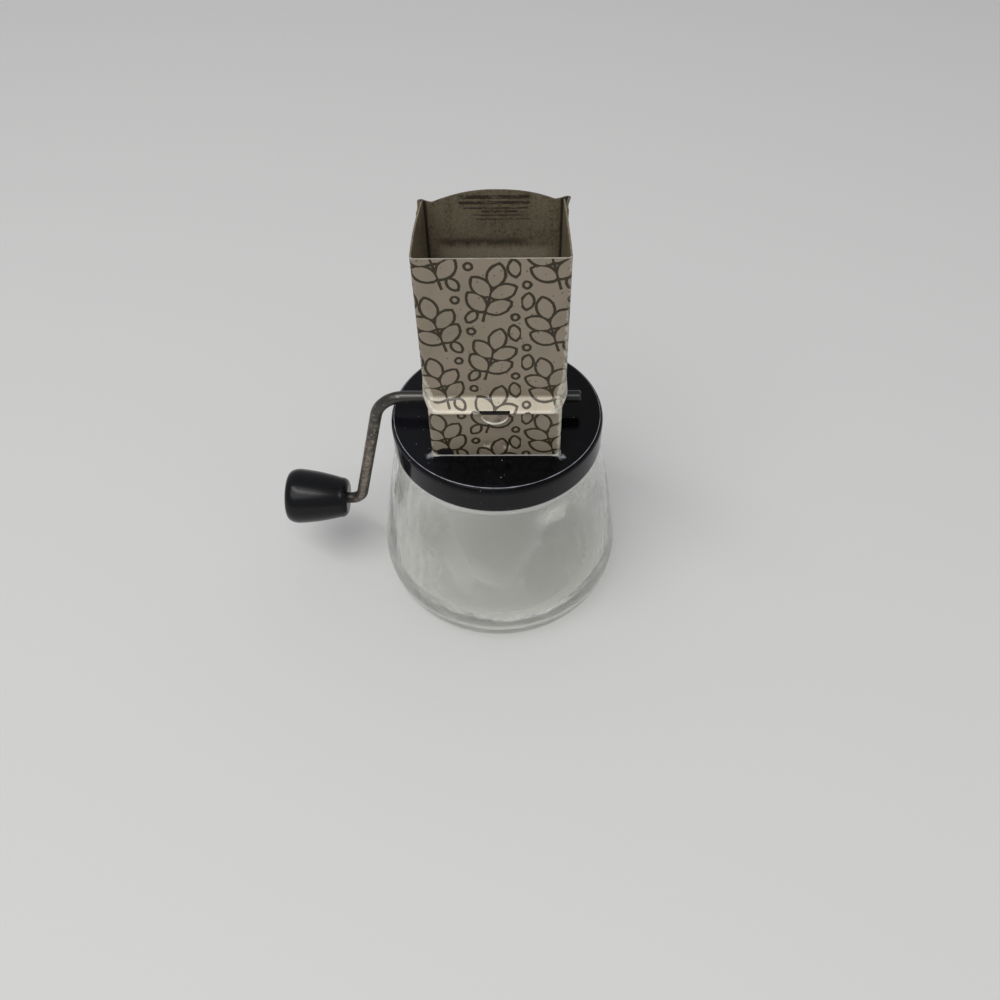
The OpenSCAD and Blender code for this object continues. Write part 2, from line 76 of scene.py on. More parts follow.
# shader arithmetic: one socket, whose operators add Math nodes
class Wire:
    def __init__(self, socket):
        self.socket = socket
        self.tree = socket.id_data

    def node(self, kind, settings=None, inputs=None, out=0):
        made = self.tree.nodes.new("ShaderNode" + kind)
        for key, value in (settings or {}).items():
            setattr(made, key, value)
        for key, value in (inputs or {}).items():
            if isinstance(value, Wire):
                self.tree.links.new(value.socket, made.inputs[key])
            else:
                made.inputs[key].default_value = value
        return Wire(made.outputs[out])

    __add__ = __radd__ = mathNode("ADD")
    __sub__ = mathNode("SUBTRACT")
    __rsub__ = mathNode("SUBTRACT", True)
    __mul__ = __rmul__ = mathNode("MULTIPLY")
    __truediv__ = mathNode("DIVIDE")
    __rtruediv__ = mathNode("DIVIDE", True)
    __abs__ = mathNode("ABSOLUTE")
    floor = mathNode("FLOOR")
    root = mathNode("SQRT")
    lower = mathNode("MINIMUM")
    higher = mathNode("MAXIMUM")

    # 0 below start, 1 above end, smooth between; start above end turns it round
    def step(self, start, end):
        return self.node("MapRange", {"interpolation_type": "SMOOTHSTEP"},
                         {"Value": self, "From Min": start, "From Max": end})

    # 1 between two values, with soft ends
    def within(self, low, high, soft):
        return self.step(low - soft, low + soft) * self.step(high + soft, high - soft)

    def mix(self, a, b):  # colour from a to b by this value
        return self.node("Mix", {"data_type": "RGBA"}, {0: self, 6: a, 7: b}, 2)

    def value(self, name):  # a number kept at the mesh's points
        return self.node("Attribute", {"attribute_name": name}, None, "Fac")

    def split(self):
        parts = self.node("SeparateXYZ", None, {0: self}).socket.node.outputs
        return [Wire(part) for part in parts]

    def noise(self, size, detail=3.0, rough=0.5, stretch=(1, 1, 1)):
        place = self.node("VectorMath", {"operation": "MULTIPLY"}, {0: self, 1: stretch})
        grain = {"Vector": place, "Scale": 1 / size, "Detail": detail, "Roughness": rough}
        return place.node("TexNoise", None, grain)

    # scattered round spots: size of a cell, soft edge of a spot, and which of the cells have one
    def spots(self, size, edge, channel, chosen):
        cells = self.node("TexVoronoi", None, {"Vector": self, "Scale": 1 / size}, "Distance")
        pick = Wire(cells.socket.node.outputs["Color"]).split()[channel]
        return cells.step(*edge) * pick.step(*chosen)

    def bump(self, strength, distance):
        return self.node("Bump", None, {"Strength": strength, "Distance": distance, "Height": self})


# a new material: its shader with fixed values, and the place on the piece in mm
def startFinish(name, fixed):
    material = bpy.data.materials.new(name)
    material.use_nodes = True
    shader = material.node_tree.nodes["Principled BSDF"]
    for socketName, value in fixed.items():
        shader.inputs[socketName].default_value = value
    coords = material.node_tree.nodes.new("ShaderNodeTexCoord")
    spot = Wire(coords.outputs["Object"])
    place = spot.node("VectorMath", {"operation": "SCALE"}, {0: spot, "Scale": 1 / mm})
    return material, shader, place


socketNames = {"color": "Base Color", "rough": "Roughness", "metal": "Metallic", "coat": "Coat Weight",
               "normal": "Normal"}


def feed(shader, **wires):
    for key, wire in wires.items():
        wire.tree.links.new(wire.socket, shader.inputs[socketNames[key]])


def layered(color, *layers):  # colours laid over the first, each by its own mask
    for mask, over in layers:
        color = mask.mix(color, over)
    return color


def awayFrom(axes, spot):  # distance to a spot, in two or three directions
    total = 0.0
    for axis, at in zip(axes, spot):
        off = axis - at
        total = off * off + total
    return total.root()


# clear pressed glass: faint green over long paths, a thin film in places, a pale patch on the right shoulder
# that is a painted reflection, and lamps shine through it
glassLook = {
    "tint": (0.992, 1.0, 0.985, 1), "ior": 1.42, "straight": 0.14, "shadow": (0.905, 0.9, 0.89, 1),
    "absorb": (0.865, 0.9, 0.82, 1), "density": 13.0, "film": (0.82, 0.82, 0.76, 1),
    "stain": (0.3, 0.23, 0.12, 1), "stainAt": (-21.7, -31.1, 41.0), "stainR": (2.4, 0.8),
    "ringR": (30.4, 31.4), "ringZ": (8, 5), "leftX": (-17, -25), "rightX": (17, 25), "frontY": (4, -8),
    "shoulderReflectionX": (10, 17), "shoulderReflectionY": (-6, -14), "shoulderReflectionZ": (56.0, 62.0)}


def clearGlass():
    look = glassLook
    material, shader, place = startFinish("clearGlass", {
        "Base Color": look["tint"], "Transmission Weight": 1.0, "IOR": look["ior"], "Roughness": 0.0})
    x, y, z = place.split()
    streak = place.noise(3.2, 4, 0.6, (1, 1, 0.13))
    cloud = place.noise(9, 4)
    around = awayFrom((x, y), (0, 0))
    ring = around.within(*look["ringR"], 0.6) * z.step(*look["ringZ"]) * cloud.step(0.35, 0.6)
    ragged = (place.noise(1.6, 3) - 0.5) * 4
    stain = (awayFrom((x, y, z), look["stainAt"]) + ragged).step(*look["stainR"])
    front = y.step(*look["frontY"])
    left = x.step(*look["leftX"]) * front * streak.step(0.5, 0.62)
    right = x.step(*look["rightX"]) * front * streak.step(0.55, 0.7)
    # painted reflection: a pale patch on the right front shoulder under the cap
    scuff = z.within(*look["shoulderReflectionZ"], 1.2) * x.step(*look["shoulderReflectionX"]) * y.step(*look["shoulderReflectionY"])
    scuff = scuff * cloud.step(0.4, 0.6)
    film = (ring * 0.2).higher(left * 0.16).higher(right * 0.1).higher(scuff * 0.42).higher(stain * 0.5)
    feed(shader, rough=cloud.step(0.55, 0.8) * 0.05,
         normal=place.noise(6, 3, 0.55, (1, 1, 0.45)).bump(0.22, 0.0008))
    filmColor = stain.mix(look["film"], look["stain"])
    coated = place.node("BsdfPrincipled", None, {"Base Color": filmColor, "Roughness": 0.6})
    straight = place.node("BsdfTransparent", None, {"Color": (1, 1, 1, 1)})
    clear = place.node("MixShader", None, {0: look["straight"], 1: Wire(shader.outputs[0]), 2: straight})
    clear = place.node("MixShader", None, {0: film, 1: clear, 2: coated})
    lampRay = place.node("LightPath", out="Is Shadow Ray")
    lampRay = lampRay.higher(place.node("LightPath", out="Is Diffuse Ray"))
    lit = place.node("BsdfTransparent", None, {"Color": look["shadow"]})
    surface = place.node("MixShader", None, {0: lampRay, 1: clear, 2: lit})
    volume = place.node("VolumeAbsorption", None, {"Color": look["absorb"], "Density": look["density"]})
    output = material.node_tree.nodes["Material Output"]
    material.node_tree.links.new(surface.socket, output.inputs["Surface"])
    material.node_tree.links.new(volume.socket, output.inputs["Volume"])
    return material


# glossy black enamel with dust, smears, and chips where the hopper's corners stand in it; painted reflections
# lighten the skirt and the left of the top, and a painted highlight rings the top near its rounded edge
enamelLook = {
    "black": (0.0022, 0.0023, 0.003, 1), "smear": (0.007, 0.0074, 0.0095, 1),
    "skirtReflection": (0.0135, 0.0136, 0.0155, 1), "leftReflection": (0.0075, 0.0078, 0.0105, 1),
    "dust": (0.42, 0.43, 0.46, 1), "metal": (0.62, 0.58, 0.5, 1), "scuff": (0.36, 0.37, 0.4, 1),
    "scuffAt": ((-20.9, -20.5), (20.8, -21.1)), "scuffR": (1.5, 0.3), "leftReflectionX": (-8, -27),
    "skirtZ": (-2.3, -2.8)}  # below the cap's top


def blackEnamel():
    look = enamelLook
    material, shader, place = startFinish("blackEnamel", {"IOR": 1.5, "Specular IOR Level": 0.14})
    x, y, z = place.split()
    smear = place.noise(9, 5, 0.65).step(0.52, 0.8)
    skirt = (z - capTop).step(*look["skirtZ"])
    fine = place.spots(0.9, (0.16, 0.06), 1, (0.93, 0.95))
    dust = place.spots(2.1, (0.12, 0.04), 0, (0.72, 0.77)).higher(fine * 0.7) * (1 - skirt * 0.8)
    ragged = (place.noise(1.2, 4, 0.7) - 0.5) * 3.6
    scuff = 0.0
    for spot in look["scuffAt"]:
        scuff = (awayFrom((x, y), spot) + ragged).step(*look["scuffR"]) + scuff
    chip = (place.value("worn") + place.noise(0.9, 4) * 0.5).step(0.98, 1.08)
    # painted highlight: the rubbed values make a pale ring near the top's rounded edge
    rubbed = (place.value("rubbed") + (place.noise(2.5, 3) - 0.5) * 0.7).step(0.45, 0.95)
    # painted reflection: the left of the top and the whole skirt are painted lighter
    color = layered(look["black"], (smear, look["smear"]), (x.step(*look["leftReflectionX"]) * 0.9, look["leftReflection"]),
                    (skirt * (0.75 + smear * 0.5), look["skirtReflection"]), (rubbed, look["scuff"]),
                    (dust * 0.75, look["dust"]), (scuff * 0.7, look["scuff"]), (chip, look["metal"]))
    rough = 0.14 - skirt * 0.05 + smear * 0.12 + dust * 0.4 + scuff * 0.3 + chip * 0.2
    feed(shader, color=color, rough=rough, metal=chip, normal=place.noise(14, 2).bump(0.08, 0.0004))
    return material


# outside of the hopper: beige ground with outlined leaf sprigs and ring berries, on the unrolled sheet;
# hem, chips and soot are at the foot of the front, at heights above the cap
printLook = {
    "ground": (0.285, 0.238, 0.178, 1), "shade": (0.225, 0.187, 0.14, 1), "line": (0.034, 0.024, 0.009, 1),
    "bare": (0.56, 0.52, 0.425, 1), "ivory": (0.7, 0.62, 0.485, 1), "stain": (0.06, 0.042, 0.026, 1),
    "chip": (0.8, 0.79, 0.75, 1), "soot": (0.012, 0.011, 0.01, 1), "column": 16.0, "row": 21.4,
    "tilt": 15.0, "lineW": 0.84, "lineSoft": 0.09, "shift": (8.1, 3.0), "frontY": (-19.6, -20.3),
    "hemZ": (0.55, 0.35), "chipX": 17.4, "chipLean": 1.6, "sootAt": (-15.9, 1.8), "sootSize": (2.8, 1.7),
    "dents": ((-2.7, 81.3), (3.5, 80.9)), "dentR": (0.8, 1.3)}
sprigLook = {
    "leafL": 8.0, "leafW": 4.9, "lean": 50.0, "pairs": (-1.9, -7.0), "crown": 1.2, "stemFoot": -10.0,
    "loose": (((-6.6, 4.6), 8, 5.6, 3.5), ((7.0, -10.2), -35, 4.6, 2.9)),
    "berryR": 1.05, "berryAt": ((6.0, 8.0), (-6.4, -8.6))}


# distance to a pointed oval of two arcs, below 0 inside; it starts at a foot and points at an angle
def leafField(x, y, foot, angle, length, width):
    c = math.cos(math.radians(angle))
    s = math.sin(math.radians(angle))
    across = (x - foot[0]) * c - (y - foot[1]) * s
    along = (x - foot[0]) * s + (y - foot[1]) * c - length / 2
    arcR = (length ** 2 / 4 + width ** 2 / 4) / width
    return awayFrom((along, abs(across)), (0, width / 2 - arcR)) - arcR


# distance to the nearest line of the print, from a place on the unrolled sheet
def sprigLines(u, v):
    look = printLook
    leaf = (sprigLook["leafL"], sprigLook["leafW"])
    column = ((u + look["shift"][0]) / look["column"]).floor()
    odd = abs(column - (column / 2).floor() * 2)
    x = (u + look["shift"][0] - (column + 0.5) * look["column"]) * (odd * 2 - 1)
    high = (v + look["shift"][1]) / look["row"] + odd * 0.5
    y = (high - high.floor() - 0.5) * look["row"]
    c = math.cos(math.radians(look["tilt"]))
    s = math.sin(math.radians(look["tilt"]))
    tiltX = x * c + y * s
    tiltY = y * c - x * s
    mirror = abs(tiltX)
    sprig = leafField(tiltX, tiltY, (0, sprigLook["crown"]), 0, *leaf)
    for foot in sprigLook["pairs"]:
        sprig = sprig.lower(leafField(mirror, tiltY, (0, foot), sprigLook["lean"], *leaf))
    stem = mirror.higher(tiltY - sprigLook["crown"]).higher(sprigLook["stemFoot"] - tiltY)
    outline = abs(sprig).lower(stem.higher(0 - sprig))
    for spec in sprigLook["loose"]:
        outline = outline.lower(abs(leafField(x, y, *spec)))
    for spot in sprigLook["berryAt"]:
        outline = outline.lower(abs(awayFrom((x, y), spot) - sprigLook["berryR"]))
    return outline


def printedTin():
    look = printLook
    material, shader, place = startFinish("printedTin", {
        "IOR": 1.5, "Coat Roughness": 0.18, "Specular IOR Level": 0.32})
    x, y, z = place.split()
    sheet = place.node("UVMap", {"uv_map": "unrolled"})
    u, v = sheet.split()[:2]
    wobble = (sheet.noise(1.6, 2) - 0.5) * 0.5
    ink = sprigLines(u + wobble, v - wobble) + (sheet.noise(0.6, 2) - 0.5) * 0.16
    line = ink.step(look["lineW"] / 2 + look["lineSoft"], look["lineW"] / 2 - look["lineSoft"])
    worn = place.value("worn")
    polishAndHighlight = place.value("polishAndHighlight")
    rough = place.noise(1.3, 4, 0.65) - 0.5
    rubbed = (worn + rough * 0.8).step(0.56, 0.84)
    darkening = place.noise(13, 4, 0.6).step(0.42, 0.75)
    pits = place.spots(2.3, (0.15, 0.07), 1, (0.55, 0.62))
    dots = place.spots(1.2, (0.2, 0.1), 0, (0.86, 0.9))
    stain = (place.noise(1.1, 4, 0.7) + worn * 0.16).step(0.72, 0.82)
    low = z - capTop
    front = y.step(*look["frontY"])
    hem = (low + rough * 0.5).step(*look["hemZ"]) * front
    chips = (abs(x) - look["chipX"] - low * look["chipLean"] + rough * 3.0).step(0.0, 0.4) * front
    patch = [(axis - at) / size for axis, at, size in zip((x, low), look["sootAt"], look["sootSize"])]
    soot = (awayFrom(patch, (0, 0)) + rough * 1.4).step(1.0, 0.82) * front
    dent = 0.0
    for spot in look["dents"]:
        dent = (awayFrom((x, z), spot) + rough * 0.9).within(*look["dentR"], 0.25) * front + dent
    # painted highlight: the bead's band is painted pale ivory, streaked along its length
    bandHighlightStreaks = place.noise(6, 2, 0.5, (1, 0.2, 0.2)) - 0.5
    color = layered(look["ground"], (darkening * 0.6, look["shade"]),
                    (polishAndHighlight * (0.86 + bandHighlightStreaks * 0.9 + rough * 0.3), look["ivory"]),
                    (rubbed.higher(dent * 0.6), look["bare"]),
                    (line * (1 - rubbed * 0.6) * (1 - polishAndHighlight * 0.12), look["line"]),
                    (pits.higher(stain).higher(dots) * 0.8, look["stain"]),
                    (soot, look["soot"]), (chips.higher(hem * 0.75), look["chip"]))
    feed(shader, color=color, rough=0.38 + darkening * 0.12 + pits * 0.2 - polishAndHighlight * 0.12, metal=rubbed * 0.1,
         coat=0.06 + polishAndHighlight * 0.6, normal=(place.noise(6, 3) - line * 0.03).bump(0.1, 0.0004))
    return material


# inside of the hopper: tin gone brown-grey, with streaks, a dark band, a paler strip below it that is a
# painted reflection, and painted shade in the back's corners
tinLook = {
    "bright": (0.34, 0.29, 0.2, 1), "dull": (0.165, 0.135, 0.088, 1), "dark": (0.03, 0.024, 0.018, 1),
    "pale": (0.5, 0.43, 0.32, 1), "rust": (0.2, 0.115, 0.05, 1), "metal": 0.35, "reflectionStripX": (19, 14),
    "reflectionStrip": (124.5, 128.4), "band": (129.6, 131.2), "bandX": (-16.0, 9.0), "shadedCornerX": (18.9, 19.6),
    "sideY": (13.6, 15.2), "sideZ": (97, 104)}
ruledRows = (  # height, half width, left and right end
    (144.9, 0.56, -10.2, 10.4), (143.1, 0.44, -10.0, 10.4), (141.4, 0.2, -8.6, 10.0),
    (140.3, 0.24, -3.5, 7.0), (139.1, 0.12, -9.5, 10.2), (137.8, 0.1, -5.0, 10.8))


def tarnishedTin(name, rows):
    look = tinLook
    material, shader, place = startFinish(name, {"Metallic": look["metal"], "IOR": 1.5})
    x, y, z = place.split()
    streak = place.noise(1.5, 4, 0.65, (1, 1, 0.1))
    cloud = place.noise(11, 4, 0.6)
    grain = place.noise(0.7, 3, 0.6)
    dull = (streak * 0.4 + cloud * 0.5 + grain * 0.8).step(0.6, 1.1)
    rust = (cloud + grain * 0.4).step(0.76, 0.9) * 0.5
    color = layered(look["bright"], (dull, look["dull"]), (rust, look["rust"]))
    dark = (grain + streak * 0.25).step(0.7, 0.9) * 0.5
    if rows:  # the back: painted shade in the corners, a dark band, a pale strip that is a painted reflection, and a block of plain ruled lines
        sway = (streak - 0.5) * 3.0
        # painted reflection: a paler strip across the back below the dark band
        pale = (z + sway * 0.6).within(*look["reflectionStrip"], 1.2) * abs(x).step(*look["reflectionStripX"])
        color = (pale * (0.35 + streak * 0.8)).mix(color, look["pale"])
        band = (z + sway).within(*look["band"], 1.3) * (x + sway).within(*look["bandX"], 3)
        # painted shade: the back is darker at its corners, beside the side panels
        dark = dark.higher(abs(x).step(*look["shadedCornerX"]) * 0.9).higher(band * 0.85)
        ink = place.noise(1.1, 3, 0.6, (0.35, 1, 1)).step(0.3, 0.52)
        for height, half, left, right in rows:
            row = abs(z - height).step(half + 0.14, half - 0.04) * x.within(left, right, 0.3)
            dark = dark.higher(row * ink * 0.85)
    else:  # the sides: darker towards the back
        dark = dark.higher(y.step(*look["sideY"]) * z.step(*look["sideZ"]) * 0.8)
    feed(shader, color=dark.mix(color, look["dark"]), rough=0.36 + streak * 0.2 + dark * 0.2,
         normal=streak.bump(0.15, 0.0003))
    return material


# steel of the crank: dark, browner down the arm, with painted shade on the side of the arm that faces the
# jar, darker at the pin, black with pale flecks at the short end
steelLook = {
    "dark": (0.075, 0.072, 0.066, 1), "brown": (0.17, 0.142, 0.112, 1), "rubbed": (0.5, 0.46, 0.4, 1),
    "darkening": (0.035, 0.033, 0.031, 1), "black": (0.045, 0.045, 0.046, 1), "fleck": (0.6, 0.6, 0.6, 1),
    "armX": (-30, -36), "armZ": (84, 46), "pinX": (-49, -54), "pinZ": (38, 34), "stubX": (19, 21)}


def crankSteel():
    look = steelLook
    material, shader, place = startFinish("crankSteel", {"Metallic": 0.75, "IOR": 1.5})
    x, z = place.split()[::2]
    arm = z.step(*look["armZ"]) * x.step(*look["armX"])
    brown = (place.noise(5.0, 5, 0.65) + arm * 0.5).step(0.58, 0.92)
    rubbed = (place.noise(1.1, 4, 0.7) + arm * 0.12).step(0.56, 0.7)
    # painted shade: the side of the arm that faces the jar (+x) is painted darker; the steel is also darker
    # round the pin
    shadedSide = place.node("TexCoord", out="Normal").split()[0].step(0.1, 0.9)
    darkening = (shadedSide * arm).higher(z.step(*look["pinZ"]) * x.step(*look["pinX"]))
    stub = x.step(*look["stubX"])
    fleck = place.spots(1.2, (0.24, 0.1), 0, (0.6, 0.7)) * stub
    color = layered(look["dark"], (brown, look["brown"]), (rubbed * 0.5, look["rubbed"]),
                    (darkening * 0.75, look["darkening"]), (stub, look["black"]), (fleck * 0.8, look["fleck"]))
    feed(shader, color=color, rough=0.3 + brown * 0.14 - rubbed * 0.06,
         normal=place.noise(0.7, 3).bump(0.14, 0.0001))
    return material


# plain metals: name, bright and dull colour, and how metallic
plainMetals = {
    "steel": ("bareSteel", (0.5, 0.48, 0.45, 1), (0.24, 0.22, 0.19, 1), 0.95),
    "tab": ("tabTin", (0.3, 0.245, 0.19, 1), (0.13, 0.1, 0.078, 1), 0.25),
    "edge": ("cutEdgeAndTabHighlight", (0.8, 0.77, 0.7, 1), (0.62, 0.58, 0.5, 1), 0.15),
    "rim": ("rimEdge", (0.48, 0.44, 0.36, 1), (0.3, 0.27, 0.215, 1), 0.15)}


def plainMetal(name, bright, dull, metal):
    material, shader, place = startFinish(name, {"Metallic": metal, "IOR": 1.5})
    cloud = place.noise(3.0, 4, 0.6).step(0.35, 0.75)
    grain = place.noise(0.6, 2, 0.5, (6, 1, 1))
    feed(shader, color=cloud.mix(bright, dull), rough=0.26 + cloud * 0.18 + grain * 0.08,
         normal=grain.bump(0.08, 0.0001))
    return material


# fixed combs: dulled tin, painted black where they pass through the sheet, a painted shade for the dark slot
combLook = {
    "bright": (0.2, 0.165, 0.125, 1), "dull": (0.075, 0.06, 0.045, 1), "slot": (0.01, 0.0085, 0.0075, 1),
    "shadedSlotY": (18.2, 19.4), "shadedSlotZ": (6, 4)}  # the second pair is in mm above the bead's crease


def combTin():
    look = combLook
    fixed = {"Metallic": 0.3, "IOR": 1.5, "Specular IOR Level": 0.3}
    material, shader, place = startFinish("combTin", fixed)
    y, z = place.split()[1:]
    cloud = place.noise(1.4, 4, 0.65)
    # painted shade: black where the comb stands in the sheet's slot
    slot = abs(y).step(*look["shadedSlotY"]) * (z - beadLow).step(*look["shadedSlotZ"])
    color = layered(look["bright"], (cloud.step(0.35, 0.7), look["dull"]),
                    (slot * (1.05 - cloud * 0.2), look["slot"]))
    feed(shader, color=color, rough=0.4 + cloud * 0.3)
    return material


# knob
plasticLook = {"black": (0.003, 0.0032, 0.0042, 1), "scuff": (0.04, 0.04, 0.043, 1)}


def blackPlastic():
    material, shader, place = startFinish("blackPlastic", {"IOR": 1.5, "Specular IOR Level": 0.3})
    scuff = place.noise(2.4, 5, 0.7).step(0.62, 0.85)
    grain = place.noise(0.35, 2)
    feed(shader, color=(scuff * 0.5).mix(plasticLook["black"], plasticLook["scuff"]),
         rough=0.2 + scuff * 0.15 + grain * 0.06, normal=grain.bump(0.06, 0.0001))
    return material


# sealing ring in the cap
boardLook = {"pale": (0.62, 0.55, 0.43, 1), "dark": (0.45, 0.37, 0.26, 1)}


def linerBoard():
    material, shader, place = startFinish("linerBoard", {"IOR": 1.45})
    pulp = place.noise(0.5, 4, 0.7)
    stained = place.noise(5, 3).step(0.45, 0.75)
    feed(shader, color=stained.mix(boardLook["pale"], boardLook["dark"]), rough=0.8 + pulp * 0.15,
         normal=pulp.bump(0.25, 0.0002))
    return material


finishes = {
    "glass": clearGlass(),
    "enamel": blackEnamel(),
    "print": printedTin(),
    "tin": tarnishedTin("tarnishedTin", ()),
    "backTin": tarnishedTin("tarnishedTinBack", ruledRows),
    "crank": crankSteel(),
    "comb": combTin(),
    "plastic": blackPlastic(),
    "board": linerBoard(),
}
for key, metal in plainMetals.items():
    finishes[key] = plainMetal(*metal)
print("finishes made:", len(finishes))


# curves, in mm
def arcPoints(centre, radius, start, end, steps):
    angles = [math.radians(start + (end - start) * i / steps) for i in range(steps + 1)]
    return [(centre[0] + radius * math.cos(a), centre[1] + radius * math.sin(a)) for a in angles]


def bendPoints(a, b, c, steps):  # from a to c, pulled towards b
    points = []
    for i in range(steps + 1):
        t = i / steps
        shares = ((1 - t) ** 2, 2 * t * (1 - t), t ** 2)
        points.append(tuple(sum(s * v for s, v in zip(shares, values)) for values in zip(a, b, c)))
    return points


def spread(start, end, steps):  # evenly spaced numbers, without the last
    return [start + (end - start) * i / steps for i in range(steps)]


def clamp01(value):
    return min(1.0, max(0.0, value))


def rise(value, start, end):  # 0 at the start, 1 at the end, straight between
    return clamp01((value - start) / (end - start))


def ease(value, start, end):  # the same with soft ends
    return (1 - math.cos(math.pi * rise(value, start, end))) / 2


# one object from points in mm and faces, smooth but for edges sharper than the angle
def makePiece(name, points, faces, slots, finishOf=None, sharp=40):
    mesh = bpy.data.meshes.new(name)
    mesh.from_pydata([Vector(p) * mm for p in points], [], faces)
    for key in slots:
        mesh.materials.append(finishes[key])
    if finishOf:
        mesh.polygons.foreach_set("material_index", finishOf)
    mesh.validate()
    mesh.shade_smooth()
    mesh.set_sharp_from_angle(angle=math.radians(sharp))
    piece = bpy.data.objects.new(name, mesh)
    scene.collection.objects.link(piece)
    return piece


def addValues(piece, name, values):
    piece.data.attributes.new(name, "FLOAT", "POINT").data.foreach_set("value", values)


# faces between rings of equal length; a ring of one point is a pole
def ringFaces(rings):
    points = []
    starts = []
    for ring in rings:
        starts.append(len(points))
        points.extend(ring)
    faces = []
    for k in range(len(rings) - 1):
        a, b = starts[k], starts[k + 1]
        m, n = len(rings[k]), len(rings[k + 1])
        for i in range(max(m, n)):
            j = (i + 1) % max(m, n)
            if m == 1:
                faces.append((a, b + j, b + i))
            elif n == 1:
                faces.append((a + i, a + j, b))
            else:
                faces.append((a + i, a + j, b + j, b + i))
    return points, faces


def lathe(profile, segments, place=None):  # rings from a profile of (radius, height)
    angles = [turn * i / segments for i in range(segments)]
    rings = []
    for r, z in profile:
        used = angles[:1] if r < 1e-6 else angles
        ring = [Vector((r * math.cos(a), r * math.sin(a), z)) for a in used]
        rings.append([place @ p for p in ring] if place else ring)
    return rings


def finishPiece(piece, body, slot, *nodes):
    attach(piece, body)
    if nodes:
        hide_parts(*nodes)


# camera: fitted to the photo's 1000 by 1000 pixels; place in mm, angles in degrees, focal length in pixels
cameraSpec = {"at": (7.08, -216.34, 283.33), "down": 49.362, "roll": -1.436, "heading": 1.80,
              "focal": 901.85, "pixels": 1000, "sensor": 36.0, "nearest": 0.01}
camera = bpy.data.objects.new("camera", bpy.data.cameras.new("camera"))
camera.data.sensor_width = cameraSpec["sensor"]
camera.data.lens = cameraSpec["focal"] / cameraSpec["pixels"] * cameraSpec["sensor"]
camera.data.clip_start = cameraSpec["nearest"]
aim = Matrix.Rotation(math.radians(cameraSpec["heading"]), 4, "Z")
aim = aim @ Matrix.Rotation(math.radians(90 - cameraSpec["down"]), 4, "X")
aim = aim @ Matrix.Rotation(math.radians(cameraSpec["roll"]), 4, "Z")
camera.matrix_world = Matrix.Translation(Vector(cameraSpec["at"]) * mm) @ aim
scene.collection.objects.link(camera)
scene.camera = camera


# glass jar: wide rounded foot, sloping wall, threaded neck
jarSpec = {
    "bellyZ": 14.7, "footIn": 7.6, "shoulderR": 34.3, "neckH": 10.2, "neckR": 32.0, "neckWall": 2.8,
    "wall": 2.9, "swell": 1.4, "rimR": 0.8, "floor": 4.6, "floorR": 30.0, "footPower": 0.75,
    "floorDips": ((0.7, 0.1), (0.35, 0.2), (0, 0.2)),  # share of floorR, and how far down
    "pushUp": 0.7, "ringW": 4.5, "slopeW": 6.0, "slopePull": (1.2, 0.1), "slopeEnd": 0.8,
    "threadPitch": 4.233, "threadTurns": 1.35, "threadH": 1.05, "threadHalf": 1.0, "threadTop": 2.0,
    "threadEnd": 0.06, "wave": 0.24, "waveFade": 14, "waveTop": 3,
    "waves": ((3, 0.05, 0.0, 1.0), (5, -0.11, 1.3, 0.6), (11, 0.2, 0.0, 0.35)),  # lobes, twist, start, share
    "segments": 144, "footSteps": 24, "wallSteps": 30, "neckSteps": 28, "bendSteps": 8, "rimSteps": 5}


def threadRise(angle, z):  # how far the glass thread stands out here
    spec = jarSpec
    highest = 0.0
    for lap in (0, 1):
        along = angle / turn + lap
        ends = clamp01(along / spec["threadEnd"])
        ends *= clamp01((spec["threadTurns"] - along) / spec["threadEnd"])
        off = (z - (jarTop - spec["threadTop"] - spec["threadPitch"] * along)) / spec["threadHalf"]
        highest = max(highest, spec["threadH"] * ends * max(0.0, 1 - off * off))
    return highest


def glassWave(angle, z):  # uneven inner wall of pressed glass
    swing = 0.0
    for lobes, twist, start, share in jarSpec["waves"]:
        swing += share * math.sin(lobes * angle + twist * z + start)
    return jarSpec["wave"] * swing


